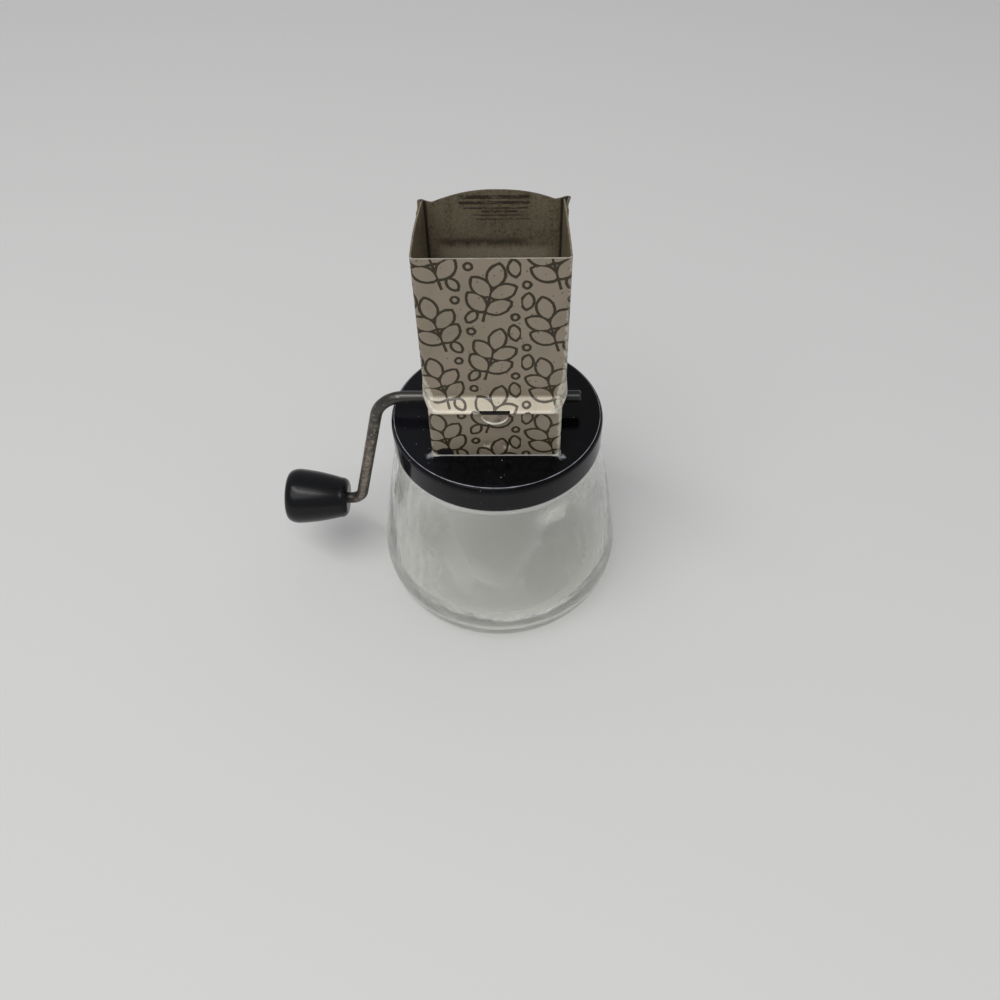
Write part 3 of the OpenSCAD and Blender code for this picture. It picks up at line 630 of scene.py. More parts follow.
def makeJar():
    spec = jarSpec
    footSteps, bendSteps = spec["footSteps"], spec["bendSteps"]
    floor, floorR, pushUp = spec["floor"], spec["floorR"], spec["pushUp"]
    baseR = jarR - spec["footIn"]
    ringIn = baseR - spec["ringW"]
    slopeIn = ringIn - spec["slopeW"]
    stepH = spec["neckWall"] / 2
    shoulderZ = jarTop - spec["neckH"]
    neckLow = shoulderZ + stepH
    neckTop = jarTop - spec["rimR"]
    mouthR = spec["neckR"] - spec["neckWall"]
    belly = (jarR, spec["bellyZ"])
    shoulder = (spec["shoulderR"], shoulderZ)
    middle = ((belly[0] + shoulder[0]) / 2 + spec["swell"], (belly[1] + shoulder[1]) / 2)
    slopePull = (ringIn - spec["slopePull"][0], spec["slopePull"][1])
    outside = [(0, pushUp), (ringIn / 2, pushUp), (slopeIn - 1, pushUp)]
    outside += bendPoints((slopeIn, pushUp), slopePull, (ringIn + spec["slopeEnd"], 0), bendSteps)
    for i in range(footSteps + 1):
        a = math.radians(90 * i / footSteps)
        outside.append((baseR + spec["footIn"] * math.sin(a), spec["bellyZ"] * (1 - math.cos(a))))
    outside += bendPoints(belly, middle, shoulder, spec["wallSteps"])[1:]
    outside += bendPoints(shoulder, (shoulder[0], neckLow), (spec["neckR"], neckLow), bendSteps)[1:]
    outside += [(spec["neckR"], z) for z in spread(neckLow, neckTop, spec["neckSteps"])[1:]]
    outside += arcPoints((spec["neckR"] - spec["rimR"], neckTop), spec["rimR"], 0, 90, spec["rimSteps"])
    innerTop = (spec["shoulderR"] - spec["wall"], shoulderZ - spec["neckWall"])
    innerBelly = (jarR - spec["wall"], spec["bellyZ"] + floor)
    innerMiddle = ((innerTop[0] + innerBelly[0]) / 2 + spec["swell"], (innerTop[1] + innerBelly[1]) / 2)
    inside = arcPoints((mouthR + spec["rimR"], neckTop), spec["rimR"], 90, 180, spec["rimSteps"])
    inside += bendPoints((mouthR, neckLow), (mouthR, shoulderZ - stepH), innerTop, bendSteps)
    inside += bendPoints(innerTop, innerMiddle, innerBelly, spec["wallSteps"])[1:]
    for i in range(1, footSteps + 1):
        a = math.radians(90 - 90 * i / footSteps)
        out, up = math.sin(a) ** spec["footPower"], 1 - math.cos(a) ** spec["footPower"]
        inside.append((floorR + (innerBelly[0] - floorR) * out, floor + (innerBelly[1] - floor) * up))
    inside += [(floorR * share, floor - dip) for share, dip in spec["floorDips"]]
    rings = lathe(outside + inside, spec["segments"])
    for index, (ring, (r, z)) in enumerate(zip(rings, outside + inside)):
        inNeck = index < len(outside) and neckLow < z < neckTop
        inWall = index >= len(outside) and z < innerTop[1]
        fade = clamp01((z - floor) / spec["waveFade"])
        fade *= clamp01((shoulderZ - spec["waveTop"] - z) / spec["waveFade"])
        for p in ring:
            angle = math.atan2(p.y, p.x) % turn
            grow = threadRise(angle, z) if inNeck else glassWave(angle, z) * fade if inWall else 0.0
            if r > 0:
                p.x += grow * p.x / r
                p.y += grow * p.y / r
    piece = makePiece("jarGlass", *ringFaces(rings), ["glass"], sharp=70)
    finishPiece(piece, "jar", "clear_glass", "glass_jar")


makeJar()


# hopper: plan and heights of the two bent sheets, in mm
hopperSpec = {
    "neckW": 40.4, "neckDepth": 41.0, "boxW": 42.7, "boxDepth": 32.8, "taper": 1.0, "corner": 1.2,
    "footUnder": 1.13, "rimDrop": 2.0, "rimSide": 1.0, "frontDip": 0.35, "bowLeft": 0.6, "bowRight": 0.15,
    "bowH": 30.0, "lip": 0.5, "beadOut": 0.8, "beadH": 2.9, "beadW": 43.8, "beadCorner": 3.0, "bulge": 0.8,
    "tail": 8.0, "archH": 3.4, "archFoot": 17.5, "archPower": 2.2, "archLean": 0.35, "earH": 1.1, "lap": 0.53,
    "flangeW": 8.0, "flareLeft": 1.7, "flareRight": 2.2, "flareH": 7.5, "flareEnd": (1.4, 5.0), "sheet": 0.5,
    "thinLip": 0.15, "thinFrom": -0.4, "thinEnd": (0.3, 1.1), "slotHalf": 5.0, "slotH": 1.2, "slotEdge": 0.2,
    "shaftHole": 2.1, "holePatch": 3.4, "dimpleR": 1.5, "dimpleDeep": 0.85, "backPrint": 60.0}
# columns and rows of the two grids, how much the bead's rows crowd at its creases, and steps down its slope
gridSteps = {
    "side": 6, "hole": 8, "corner": 7, "panel": 12, "slot": 26, "flange": 4, "backPanel": 14, "backSlot": 16,
    "footRows": 8, "holeRows": 12, "neckRows": 10, "lipRows": 3, "beadRows": 32, "tailRows": 12,
    "boxRows": 24, "crowd": 0.6, "slope": 40}
# how far the print is worn off, as shares: along the corners, on each side, low down and at the bead;
# polish and painted highlight: where the bead's slope starts and stops to catch the light, the print is
# glossier and painted pale
wearSpec = {
    "front": 0.75, "reach": 1.6, "reachLowRight": 3.2, "sides": 0.25, "left": 0.5, "right": 0.72,
    "low": 0.28, "bead": 0.35, "beadIn": 1.2, "beadOut": 1.0, "neckLess": 0.12, "hole": 0.9, "earDrop": 4.0,
    "bandHighlightFrom": (0.1, 0.35), "bandHighlightTo": (-0.9, 1.1)}
beadEdge = beadLow + hopperSpec["lip"]
beadHigh = beadLow + hopperSpec["beadH"]
beadCrease = beadHigh + hopperSpec["bulge"]
tailTop = beadHigh + hopperSpec["tail"]
footZ = capTop - hopperSpec["footUnder"]


def halfDepth(z):  # neck, lip, bead drawn in like a shelf with a soft upper crease, upper box
    spec = hopperSpec
    shelf = (spec["neckDepth"] - spec["boxDepth"]) / 2 + spec["beadOut"]
    drawn = 1 - (1 - rise(z, beadEdge, beadCrease) ** 2) ** 3
    return spec["neckDepth"] / 2 + spec["beadOut"] * rise(z, beadLow, beadEdge) - shelf * drawn


def halfWidth(z):
    spec = hopperSpec
    out = (spec["beadW"] - spec["neckW"]) * ease(z, beadEdge, beadHigh)
    back = (spec["beadW"] - spec["boxW"]) * ease(z, beadHigh, tailTop)
    return (spec["neckW"] + out - back) / 2


def cornerAt(z):  # rounding of the upright corners, larger at the bead
    spec = hopperSpec
    grown = rise(z, beadLow, beadEdge) * (1 - ease(z, beadHigh, tailTop))
    return spec["corner"] + (spec["beadCorner"] - spec["corner"]) * grown


def sideBow(x, y, z):
    most = hopperSpec["bowLeft"] if x < 0 else hopperSpec["bowRight"]
    return most * rise(z, rimZ - hopperSpec["bowH"], rimZ) * (1 - (y / halfDepth(z)) ** 2)


def narrowing(y, z):  # the upper box tapers a little towards the back
    most = hopperSpec["taper"] / (hopperSpec["boxW"] / 2)
    return most * rise(z, beadHigh, tailTop) * rise(y, -halfDepth(z), halfDepth(z))


# point of the U-shaped plan: stretch 0 left side, 1 left corner, 2 front, 3 right corner, 4 right side;
# way is -1 for the back sheet, which is laid out mirrored
def planPoint(stretch, t, z, extra, sideEnd, way):
    r = cornerAt(z)
    hw = halfWidth(z) + extra
    hd = halfDepth(z)
    end = sideEnd(hd)
    if stretch == 0:
        x, y = -hw, end + (r - hd - end) * t
    elif stretch == 4:
        x, y = hw, r - hd + (end - r + hd) * t
    elif stretch == 2:
        x, y = (hw - r) * (2 * t - 1), -hd
    else:
        a = math.radians(180 + 90 * t if stretch == 1 else 270 + 90 * t)
        side = -1 if stretch == 1 else 1
        x, y = side * (hw - r) + r * math.cos(a), r - hd + r * math.sin(a)
    bow = 0.0 if stretch == 2 else math.copysign(sideBow(x, y, z), x)
    return x * (1 - narrowing(way * y, z)) + bow, y


# height on the flat sheet: the same as the real one above the bead, longer where the bead slopes
def sheetHeight(z):
    if z >= beadCrease:
        return z
    start = max(z, beadLow)
    heights = spread(start, beadCrease, gridSteps["slope"]) + [beadCrease]
    total = sum(math.hypot(b - a, halfDepth(b) - halfDepth(a)) for a, b in zip(heights, heights[1:]))
    return beadCrease - total + min(0.0, z - beadLow)


# distance along the sheet from its middle, in mm, so that the print runs round the corners
def unrolled(stretch, t, x, y, z):
    r = cornerAt(z)
    half = halfWidth(z) - r
    arcL = math.pi / 2 * r
    if stretch == 2:
        return x
    if stretch in (1, 3):
        return -half - arcL * (1 - t) if stretch == 1 else half + arcL * t
    return math.copysign(half + arcL + y - r + halfDepth(z), stretch - 2)


def sheetThickness(z):  # thinner inside the tight lip, where the faces would cross
    spec = hopperSpec
    near = rise(z - beadLow, spec["thinFrom"], 0) * (1 - rise(z - beadEdge, *spec["thinEnd"]))
    return spec["sheet"] + (spec["thinLip"] - spec["sheet"]) * near


# a bent sheet from a grid of columns and rows, with its inner face, rim and holes
class Sheet:
    def __init__(self, flip):
        self.flip = flip
        self.points = []
        self.normals = []
        self.unrolled = []
        self.worn = []
        self.polishAndHighlight = []
        self.faces = []
        self.kinds = []

    def addPoint(self, point, normal, uv, worn, polishAndHighlight):
        self.points.append(Vector(point))
        self.normals.append(Vector(normal))
        self.unrolled.append(uv)
        self.worn.append(worn)
        self.polishAndHighlight.append(polishAndHighlight)
        return len(self.points) - 1

    def addGrid(self, columns, rows, pointAt, skip, kindAt):
        table = [[pointAt(column, row) for column in columns] for row in rows]
        last = len(columns) - 1
        index = []
        for j, line in enumerate(table):
            below, above = table[max(0, j - 1)], table[min(len(rows) - 1, j + 1)]
            index.append([])
            for i, (point, *marks) in enumerate(line):
                along = line[min(last, i + 1)][0] - line[max(0, i - 1)][0]
                normal = along.cross(above[i][0] - below[i][0]).normalized()
                index[j].append(self.addPoint(point, -normal if self.flip else normal, *marks))
        for j, (lower, upper) in enumerate(zip(index, index[1:])):
            for i in range(last):
                if not skip(i, j):
                    self.addFace((lower[i], lower[i + 1], upper[i + 1], upper[i]), kindAt(i))
        return index

    def addFace(self, face, kind):
        self.faces.append(tuple(reversed(face)) if self.flip else face)
        self.kinds.append(kind)

    # a kind is a face's outer and inner finish; rimMark gives the finish of the cut edge at a point
    def build(self, name, slots, rimMark):
        count = len(self.points)
        inner = [p - n * sheetThickness(p.z) for p, n in zip(self.points, self.normals)]
        faces = self.faces + [tuple(count + i for i in reversed(face)) for face in self.faces]
        marks = [kind[0] for kind in self.kinds] + [kind[1] for kind in self.kinds]
        edges = {}
        for face in self.faces:
            for a, b in zip(face, face[1:] + face[:1]):
                edges[(a, b)] = True
        for a, b in edges:
            if (b, a) not in edges:
                faces.append((b, a, count + a, count + b))
                marks.append(rimMark((self.points[a] + self.points[b]) / 2))
        piece = makePiece(name, self.points + inner, faces, slots, marks, sharp=35)
        layer = piece.data.uv_layers.new(name="unrolled")
        for loop in piece.data.loops:
            layer.data[loop.index].uv = self.unrolled[loop.vertex_index % count]
        addValues(piece, "worn", self.worn * 2)
        addValues(piece, "polishAndHighlight", self.polishAndHighlight * 2)
        return piece


def cornerWear(stretch, t, x, z):
    spec = wearSpec
    if stretch in (1, 3):
        near = 1 - abs(t - 0.5) * 0.5
    elif stretch == 2:
        reach = spec["reachLowRight"] if x > 0 and z < beadLow else spec["reach"]
        near = clamp01(spec["front"] - (halfWidth(z) - cornerAt(z) - abs(x)) / reach)
    else:
        near = spec["sides"]
    side = spec["right"] if x > 0 else spec["left"]
    low = spec["low"] * (1 - rise(z, beadHigh, rimZ)) ** 2
    bead = spec["bead"] * rise(z - beadEdge, 0, spec["beadIn"])
    bead *= 1 - rise(z, beadHigh + spec["beadOut"], tailTop)
    return clamp01(near * (side + low + bead) - (spec["neckLess"] if z < beadLow else 0))


def beadPolishAndHighlight(z):  # the bead's slope catches the light: glossier print, with a painted highlight in its colour
    start, full = wearSpec["bandHighlightFrom"]
    return rise(z, beadLow + start, beadEdge + full) * (1 - ease(z - beadHigh, *wearSpec["bandHighlightTo"]))


def dimple(x, z):  # two pressed spots low on the front
    deep = 0.0
    for spotX, spotZ in printLook["dents"]:
        off = ((x - spotX) ** 2 + (z - spotZ) ** 2) / hopperSpec["dimpleR"] ** 2
        deep += hopperSpec["dimpleDeep"] * math.exp(-2 * off)
    return deep


# row heights: even steps that meet the shaft hole's patch and the bead, closer at the bead's creases;
# above the tail a row is a share of the way up to the rim
def sheetRows():
    steps = gridSteps
    holeLow, holeHigh = shaftZ - hopperSpec["holePatch"], shaftZ + hopperSpec["holePatch"]
    rows = spread(footZ, holeLow, steps["footRows"]) + spread(holeLow, holeHigh, steps["holeRows"])
    rows += spread(holeHigh, beadLow, steps["neckRows"]) + spread(beadLow, beadEdge, steps["lipRows"])
    for t in spread(0, 1, steps["beadRows"]):
        share = steps["crowd"] * ease(t, 0, 1) + (1 - steps["crowd"]) * t
        rows.append(beadEdge + (beadCrease - beadEdge) * share)
    rows += spread(beadCrease, tailTop, steps["tailRows"])
    return [(z, 0.0) for z in rows] + [(tailTop, up) for up in spread(0, 1, steps["boxRows"]) + [1.0]]


def rowIndex(rows, z):  # the row nearest to a height below the tail's top
    below = [j for j, row in enumerate(rows) if row[1] == 0]
    return min(below, key=lambda j: abs(rows[j][0] - z))


# where the front sheet's side columns and the front's slot columns fall
def sideShare(y):
    end = hopperSpec["neckDepth"] / 2 - hopperSpec["corner"]
    return (end - y) / (2 * end)


def frontShare(x):
    return 0.5 + x / (hopperSpec["neckW"] - 2 * hopperSpec["corner"])


# columns of the panel between the corners, closer over the slot, and the corners beside it
def panelColumns(panelSteps, slotSteps):
    left, right = frontShare(-hopperSpec["slotHalf"]), frontShare(hopperSpec["slotHalf"])
    panel = spread(0, left, panelSteps) + spread(left, right, slotSteps) + spread(right, 1, panelSteps)
    corner = spread(0, 1, gridSteps["corner"])
    columns = [(1, t) for t in corner] + [(2, t) for t in panel] + [(3, t) for t in corner]
    return columns, (2, left), (2, right)


# test for a face of the grid in the locking tab's slot
def slotTest(columns, rows, left, right):
    first, last = columns.index(left), columns.index(right)
    low, high = rowIndex(rows, beadLow), rowIndex(rows, beadLow + hopperSpec["slotH"])
    return lambda i, j: first <= i < last and low <= j < high


def makeHopperFront():
    spec = hopperSpec
    sheet = Sheet(False)
    rows = sheetRows()
    patch = spec["holePatch"]
    before, after = sideShare(patch), sideShare(-patch)
    side = spread(0, before, gridSteps["side"]) + spread(before, after, gridSteps["hole"])
    side += spread(after, 1, gridSteps["side"])
    middle, left, right = panelColumns(gridSteps["panel"], gridSteps["slot"])
    columns = [(0, t) for t in side] + middle + [(4, 1 - t) for t in reversed(side + [1.0])]

    def place(stretch, t, z):
        return planPoint(stretch, t, z, 0.0, lambda hd: hd - spec["corner"], 1)

    def pointAt(column, row):
        stretch, t = column
        z, up = row
        x, y = place(stretch, t, z)
        if up > 0:
            back = (y + spec["boxDepth"] / 2) / spec["boxDepth"]
            z = z + (rimZ - spec["frontDip"] * (1 - back) - spec["rimDrop"] * back - z) * up
            x, y = place(stretch, t, z)
        if stretch == 2:
            y += dimple(x, z)
        uv = (unrolled(stretch, t, x, y, z), sheetHeight(z))
        return Vector((x, y, z)), uv, cornerWear(stretch, t, x, z), beadPolishAndHighlight(z)

    holeLow, holeHigh = rowIndex(rows, shaftZ - patch), rowIndex(rows, shaftZ + patch)
    holeFirst, holeLast = columns.index((0, before)), columns.index((0, after))
    lastColumn = len(columns) - 1
    holeSides = [(holeFirst, holeLast), (lastColumn - holeLast, lastColumn - holeFirst)]
    inSlot = slotTest(columns, rows, left, right)

    def skip(i, j):
        inHole = any(a <= i < b for a, b in holeSides) and holeLow <= j < holeHigh
        return inHole or inSlot(i, j)

    index = sheet.addGrid(columns, rows, pointAt, skip, lambda i: (0, 1))
    for a, b in holeSides:  # a ring of faces from the square patch to the round hole
        loop = [index[holeLow][i] for i in range(a, b)]
        loop += [index[j][b] for j in range(holeLow, holeHigh)]
        loop += [index[holeHigh][i] for i in range(b, a, -1)]
        loop += [index[j][a] for j in range(holeHigh, holeLow, -1)]
        hole = []
        for k in loop:
            p = sheet.points[k]
            away = Vector((0, p.y, p.z - shaftZ)).normalized() * spec["shaftHole"]
            spot = Vector((p.x, away.y, shaftZ + away.z))
            uv = (sheet.unrolled[k][0] + math.copysign(away.y - p.y, p.x), spot.z)
            hole.append(sheet.addPoint(spot, (math.copysign(1, p.x), 0, 0), uv, wearSpec["hole"], 0.0))
        for k in range(len(loop)):
            n = (k + 1) % len(loop)
            sheet.addFace((loop[k], loop[n], hole[n], hole[k]), (0, 1))
    sideFrom = spec["rimSide"] - spec["boxDepth"] / 2

    def rimMark(p):
        if p.z > tailTop:
            return 1 if p.y > sideFrom else 3
        # cut edges from just under the bead's crease to the tail take the comb finish, painted black near the
        # slot as shade
        return 4 if p.z > beadLow - spec["slotEdge"] else 2

    piece = sheet.build("hopperFrontSheet", ["print", "tin", "edge", "rim", "comb"], rimMark)
    finishPiece(piece, "cap", "printed_tin", "hopper_front")


def archTop(x):  # height of the back's rim
    spec = hopperSpec
    foot = rimZ - spec["rimDrop"] - spec["earH"]
    share = min(1.0, abs(x) / spec["archFoot"])
    lean = spec["archLean"] * math.copysign(ease(share, 0, 1), x)
    ear = spec["earH"] * ease(abs(x), spec["archFoot"], spec["boxW"] / 2)
    return foot + spec["archH"] * (1 - share ** spec["archPower"]) + ear + lean


def makeHopperBack():
    spec = hopperSpec
    sheet = Sheet(True)
    rows = sheetRows()
    flange = spread(0, 1, gridSteps["flange"])
    middle, left, right = panelColumns(gridSteps["backPanel"], gridSteps["backSlot"])
    columns = [(0, t) for t in flange] + middle + [(4, t) for t in flange + [1.0]]

    def place(stretch, t, z):
        x, y = planPoint(stretch, t, z, spec["lap"], lambda hd: spec["flangeW"] - hd, -1)
        inward = y + halfDepth(z)
        flare = spec["flareLeft"] if x < 0 else spec["flareRight"]
        flare *= rise(z, rimZ - spec["flareH"], rimZ) ** 2 * (1 - rise(inward, *spec["flareEnd"]))
        return x + math.copysign(flare * rise(abs(x), spec["archFoot"], spec["boxW"] / 2), x), y

    def pointAt(column, row):
        stretch, t = column
        z, up = row
        x, y = place(stretch, t, z)
        if up > 0:
            z = z + (archTop(x) - z) * up
            x, y = place(stretch, t, min(z, rimZ))
        uv = (unrolled(stretch, t, x, y, z) + spec["backPrint"], sheetHeight(z))
        ear = 0.0 if stretch == 2 else rise(z + wearSpec["earDrop"], rimZ - spec["flareH"], rimZ)
        return Vector((x, -y, z)), uv, max(ear, cornerWear(stretch, t, x, z)), beadPolishAndHighlight(z)

    flangeEnd = len(flange) + 2  # the flange and the start of its corner are printed on both faces

    def kindAt(i):
        return (0, 0) if i < flangeEnd or i >= len(columns) - 1 - flangeEnd else (0, 1)

    sheet.addGrid(columns, rows, pointAt, slotTest(columns, rows, left, right), kindAt)
    piece = sheet.build("hopperBackSheet", ["print", "backTin", "comb"], lambda p: 2)
    finishPiece(piece, "cap", "printed_tin", "hopper_back")


makeHopperFront()
makeHopperBack()
print("jar and hopper made")


# screw cap: flat top with the hopper's opening, rounded edge, skirt with a curled hem
# the rubbed value and its ring of points place a painted highlight, a pale ring near the top's edge
capSpec = {
    "sheet": 0.6, "edgeR": 1.8, "hem": 1.1, "gap": 0.12, "rubbed": 1.0, "highlightRing": 3, "segments": 288,
    "rings": 14, "ringPower": 1.6, "edgeSteps": 10, "skirtSteps": 8, "hemSteps": 16, "underSteps": 8}
# chips along the opening: width and strength along its edges, and at its front corners
chipSpec = {"edgeW": 0.5, "front": 0.55, "others": 0.3, "cornerFrom": (33, 39), "cornerW": 2.4, "corner": 0.9}


def holeEdge(angle):  # the opening's outline in this direction
    spec = hopperSpec
    r = spec["corner"]
    d = Vector((math.cos(angle), math.sin(angle)))
    a, b = spec["neckW"] / 2 + capSpec["gap"], spec["neckDepth"] / 2 + capSpec["gap"]
    reach = min(a / max(abs(d.x), 1e-9), b / max(abs(d.y), 1e-9))
    p = d * reach
    if abs(p.x) > a - r and abs(p.y) > b - r:
        c = Vector((math.copysign(a - r, d.x), math.copysign(b - r, d.y)))
        p = d * (d.dot(c) + math.sqrt(d.dot(c) ** 2 - c.length_squared + r * r))
    if p.y > spec["neckDepth"] / 2 - spec["flangeW"]:
        p.x += math.copysign(spec["lap"], p.x) * clamp01(abs(p.x) - a + 1)
    return p


def openingWear(p, edge):  # chips at a point of the top, whose own spot on the opening is edge
    spec = chipSpec
    away = (p - edge).length
    corner = rise(abs(edge.x) + abs(edge.y), *spec["cornerFrom"]) if edge.y < 0 else 0.0
    along = spec["front"] if edge.y < -hopperSpec["neckDepth"] / 2 else spec["others"]
    return max(clamp01(1 - away / spec["edgeW"]) * along,
               corner * clamp01(1 - away / spec["cornerW"]) * spec["corner"])


def makeCap():
    spec = capSpec
    segments = spec["segments"]
    under = capTop - spec["sheet"]
    edge = (capR - spec["edgeR"], capTop - spec["edgeR"])
    hemR = spec["hem"] / 2
    hemEnd = 360 - math.degrees(math.acos((hemR - spec["sheet"]) / hemR))
    profile = arcPoints(edge, spec["edgeR"], 90, 0, spec["edgeSteps"])
    profile += [(capR, z) for z in spread(edge[1], capBottom + hemR, spec["skirtSteps"])[1:]]
    profile += arcPoints((capR - hemR, capBottom + hemR), hemR, 0, -hemEnd, spec["hemSteps"])
    profile += arcPoints(edge, spec["edgeR"] - spec["sheet"], 0, 90, spec["underSteps"])
    ways = [Vector((math.cos(turn * i / segments), math.sin(turn * i / segments))) for i in range(segments)]
    opening = [holeEdge(turn * i / segments) for i in range(segments)]
    top = []
    worn = []
    for k in range(spec["rings"]):
        t = (k / spec["rings"]) ** spec["ringPower"]
        flat = [start.lerp(way * edge[0], t) for start, way in zip(opening, ways)]
        top.append([Vector((p.x, p.y, capTop)) for p in flat])
        worn += [openingWear(p, start) for p, start in zip(flat, opening)]
    bottom = [[Vector((p.x, p.y, under)) for p in ring] for ring in reversed(top)]
    rings = top + lathe(profile, segments) + bottom
    points, faces = ringFaces(rings)
    last = len(points) - segments
    for i in range(segments):  # close the sheet round the opening
        j = (i + 1) % segments
        faces.append((last + i, last + j, j, i))
    faces = [tuple(reversed(face)) for face in faces]
    piece = makePiece("capShell", points, faces, ["enamel"], sharp=50)
    # painted highlight: one ring of points near the top's edge gets the rubbed value
    highlightRingStart = len(worn) + spec["highlightRing"] * segments
    rubbed = [0.0] * len(points)
    rubbed[highlightRingStart:highlightRingStart + segments] = [spec["rubbed"]] * segments
    addValues(piece, "worn", worn + [0.0] * (len(points) - len(worn)))
    addValues(piece, "rubbed", rubbed)
    finishPiece(piece, "cap", "black_enamel", "screw_cap")


makeCap()


# crank: one rod, bent twice, and its knob on the tilted pin
crankSpec = {
    "rodR": 2.0, "stub": 7.2, "armX": 38.3, "armRun": 12.4, "armDrop": 50.3, "bendR": 10.5, "pinBendR": 4.6,
    "pinTilt": 3.0, "chamfer": 0.5, "shaftTo": 0.85, "armPart": (0.2, 0.88), "pinAt": (0.3, 0.6),
    "segments": 32, "shaftSteps": 12, "bendSteps": 14, "armSteps": 10, "pinBendSteps": 12}
knobSpec = {
    "length": 22.2, "maxR": 10.0, "innerR": 7.3, "off": 4.6, "bore": 2.06, "recessR": 4.7, "recess": 3.0,
    "recessEdge": 0.5, "pinIn": 1.0, "faceW": 1.2, "crown": 0.2, "crownPower": 0.6, "pull": (0.8, 0.58),
    "edge": 2.4, "edgeEnd": -12, "edgeGap": 0.2, "segments": 72, "edgeSteps": 10, "sideSteps": 24,
    "crownSteps": 18, "lipSteps": 4}
pinTilt = math.radians(crankSpec["pinTilt"])
pinWay = Vector((-math.cos(pinTilt), math.sin(pinTilt)))
shaftEnd = Vector((hopperSpec["neckW"] / 2 + crankSpec["stub"], shaftZ))
upperCorner = Vector((-crankSpec["armX"], shaftZ))
lowerCorner = upperCorner + Vector((-crankSpec["armRun"], -crankSpec["armDrop"]))
pinEnd = lowerCorner + pinWay * (knobSpec["off"] + knobSpec["length"] - knobSpec["pinIn"])


# round off a corner of a path in the XZ plane
def roundCorner(a, corner, b, radius, steps):
    into = (corner - a).normalized()
    out = (b - corner).normalized()
    bend = into.angle(out)
    back = radius * math.tan(bend / 2)
    start = corner - into * back
    side = Vector((-into.y, into.x))
    if side.dot(out) < 0:
        side = -side
    centre = start + side * radius
    angles = [bend * i / steps for i in range(steps + 1)]
    return [centre - side * radius * math.cos(a) + into * radius * math.sin(a) for a in angles]


def makeRod():
    spec = crankSpec
    r, chamfer = spec["rodR"], spec["chamfer"]
    path = [shaftEnd.lerp(upperCorner, t) for t in spread(0, spec["shaftTo"], spec["shaftSteps"])[1:]]
    path += roundCorner(shaftEnd, upperCorner, lowerCorner, spec["bendR"], spec["bendSteps"])
    path += [upperCorner.lerp(lowerCorner, t) for t in spread(*spec["armPart"], spec["armSteps"])]
    path += roundCorner(upperCorner, lowerCorner, pinEnd, spec["pinBendR"], spec["pinBendSteps"])
    path += [lowerCorner.lerp(pinEnd, t) for t in spec["pinAt"]]
    first, last = (path[0] - shaftEnd).normalized(), (pinEnd - path[-1]).normalized()
    path = [shaftEnd, shaftEnd, shaftEnd + first * chamfer] + path
    path += [pinEnd - last * chamfer, pinEnd, pinEnd]
    sizes = [0, r - chamfer] + [r] * (len(path) - 4) + [r - chamfer, 0]
    rings = []
    for k, (p, size) in enumerate(zip(path, sizes)):
        way = first if k < 3 else last if k > len(path) - 4 else (path[k + 1] - path[k - 1]).normalized()
        out = Vector((-way.y, way.x))
        ring = []
        for i in range(spec["segments"] if size else 1):
            a = turn * i / spec["segments"]
            q = p + out * size * math.cos(a)
            ring.append(Vector((q.x, size * math.sin(a), q.y)))
        rings.append(ring)
    piece = makePiece("crankRod", *ringFaces(rings), ["crank"], sharp=40)
    finishPiece(piece, "crank", "crank_steel", "crank_rod")


def onPin():  # local +Z runs out along the pin from the lower corner
    way = Vector((pinWay.x, 0, pinWay.y))
    across = Vector((0, 1, 0))
    spin = Matrix((across.cross(way), across, way)).transposed().to_4x4()
    return Matrix.Translation((lowerCorner.x, 0, lowerCorner.y)) @ spin


def makeKnob():
    spec = knobSpec
    length, bore, edge = spec["length"], spec["bore"], spec["edge"]
    innerR, maxR, recessR, lip = spec["innerR"], spec["maxR"], spec["recessR"], spec["recessEdge"]
    crownL = length * spec["crown"]
    bodyL = length - crownL
    faceR = recessR + spec["faceW"]
    recessZ = length - spec["recess"]
    pull = (innerR + spec["pull"][0] * (maxR - innerR), spec["pull"][1] * bodyL)
    outline = [(bore, 0.0)] + arcPoints((innerR - edge, edge), edge, -90, spec["edgeEnd"], spec["edgeSteps"])
    outline += bendPoints((innerR, edge + spec["edgeGap"]), pull, (maxR, bodyL), spec["sideSteps"])
    for i in range(1, spec["crownSteps"] + 1):
        a = math.radians(90 * i / spec["crownSteps"])
        outline.append((faceR + (maxR - faceR) * math.cos(a) ** spec["crownPower"],
                        bodyL + crownL * math.sin(a)))
    outline += arcPoints((recessR + lip, length - lip), lip, 90, 180, spec["lipSteps"])
    outline += [(recessR, recessZ), (bore, recessZ), (bore, 0.0)]
    rings = lathe([(r, z + spec["off"]) for r, z in outline], spec["segments"], onPin())
    piece = makePiece("crankKnob", *ringFaces(rings), ["plastic"], sharp=45)
    finishPiece(piece, "knob", "black_plastic", "crank_knob")


makeRod()
makeKnob()


# locking tab of each comb: a spoon-shaped ear under the bead, turned out at its lip, with a painted highlight
# along the lower rim of its face;
# behind the slot a black block, shaped as the comb's wider root, is painted shade
tabSpec = {
    "halfW": 4.08, "drop": 3.6, "top": 0.25, "thick": 0.88, "lip": 0.45, "lipPower": 0.5, "narrow": 0.25,
    "steps": 40, "rings": 16, "bright": 0.8, "slotShadeHalf": 5.3, "slotShadeZ": (-0.4, 1.2), "slotShadeY": (0.6, 1.3)}


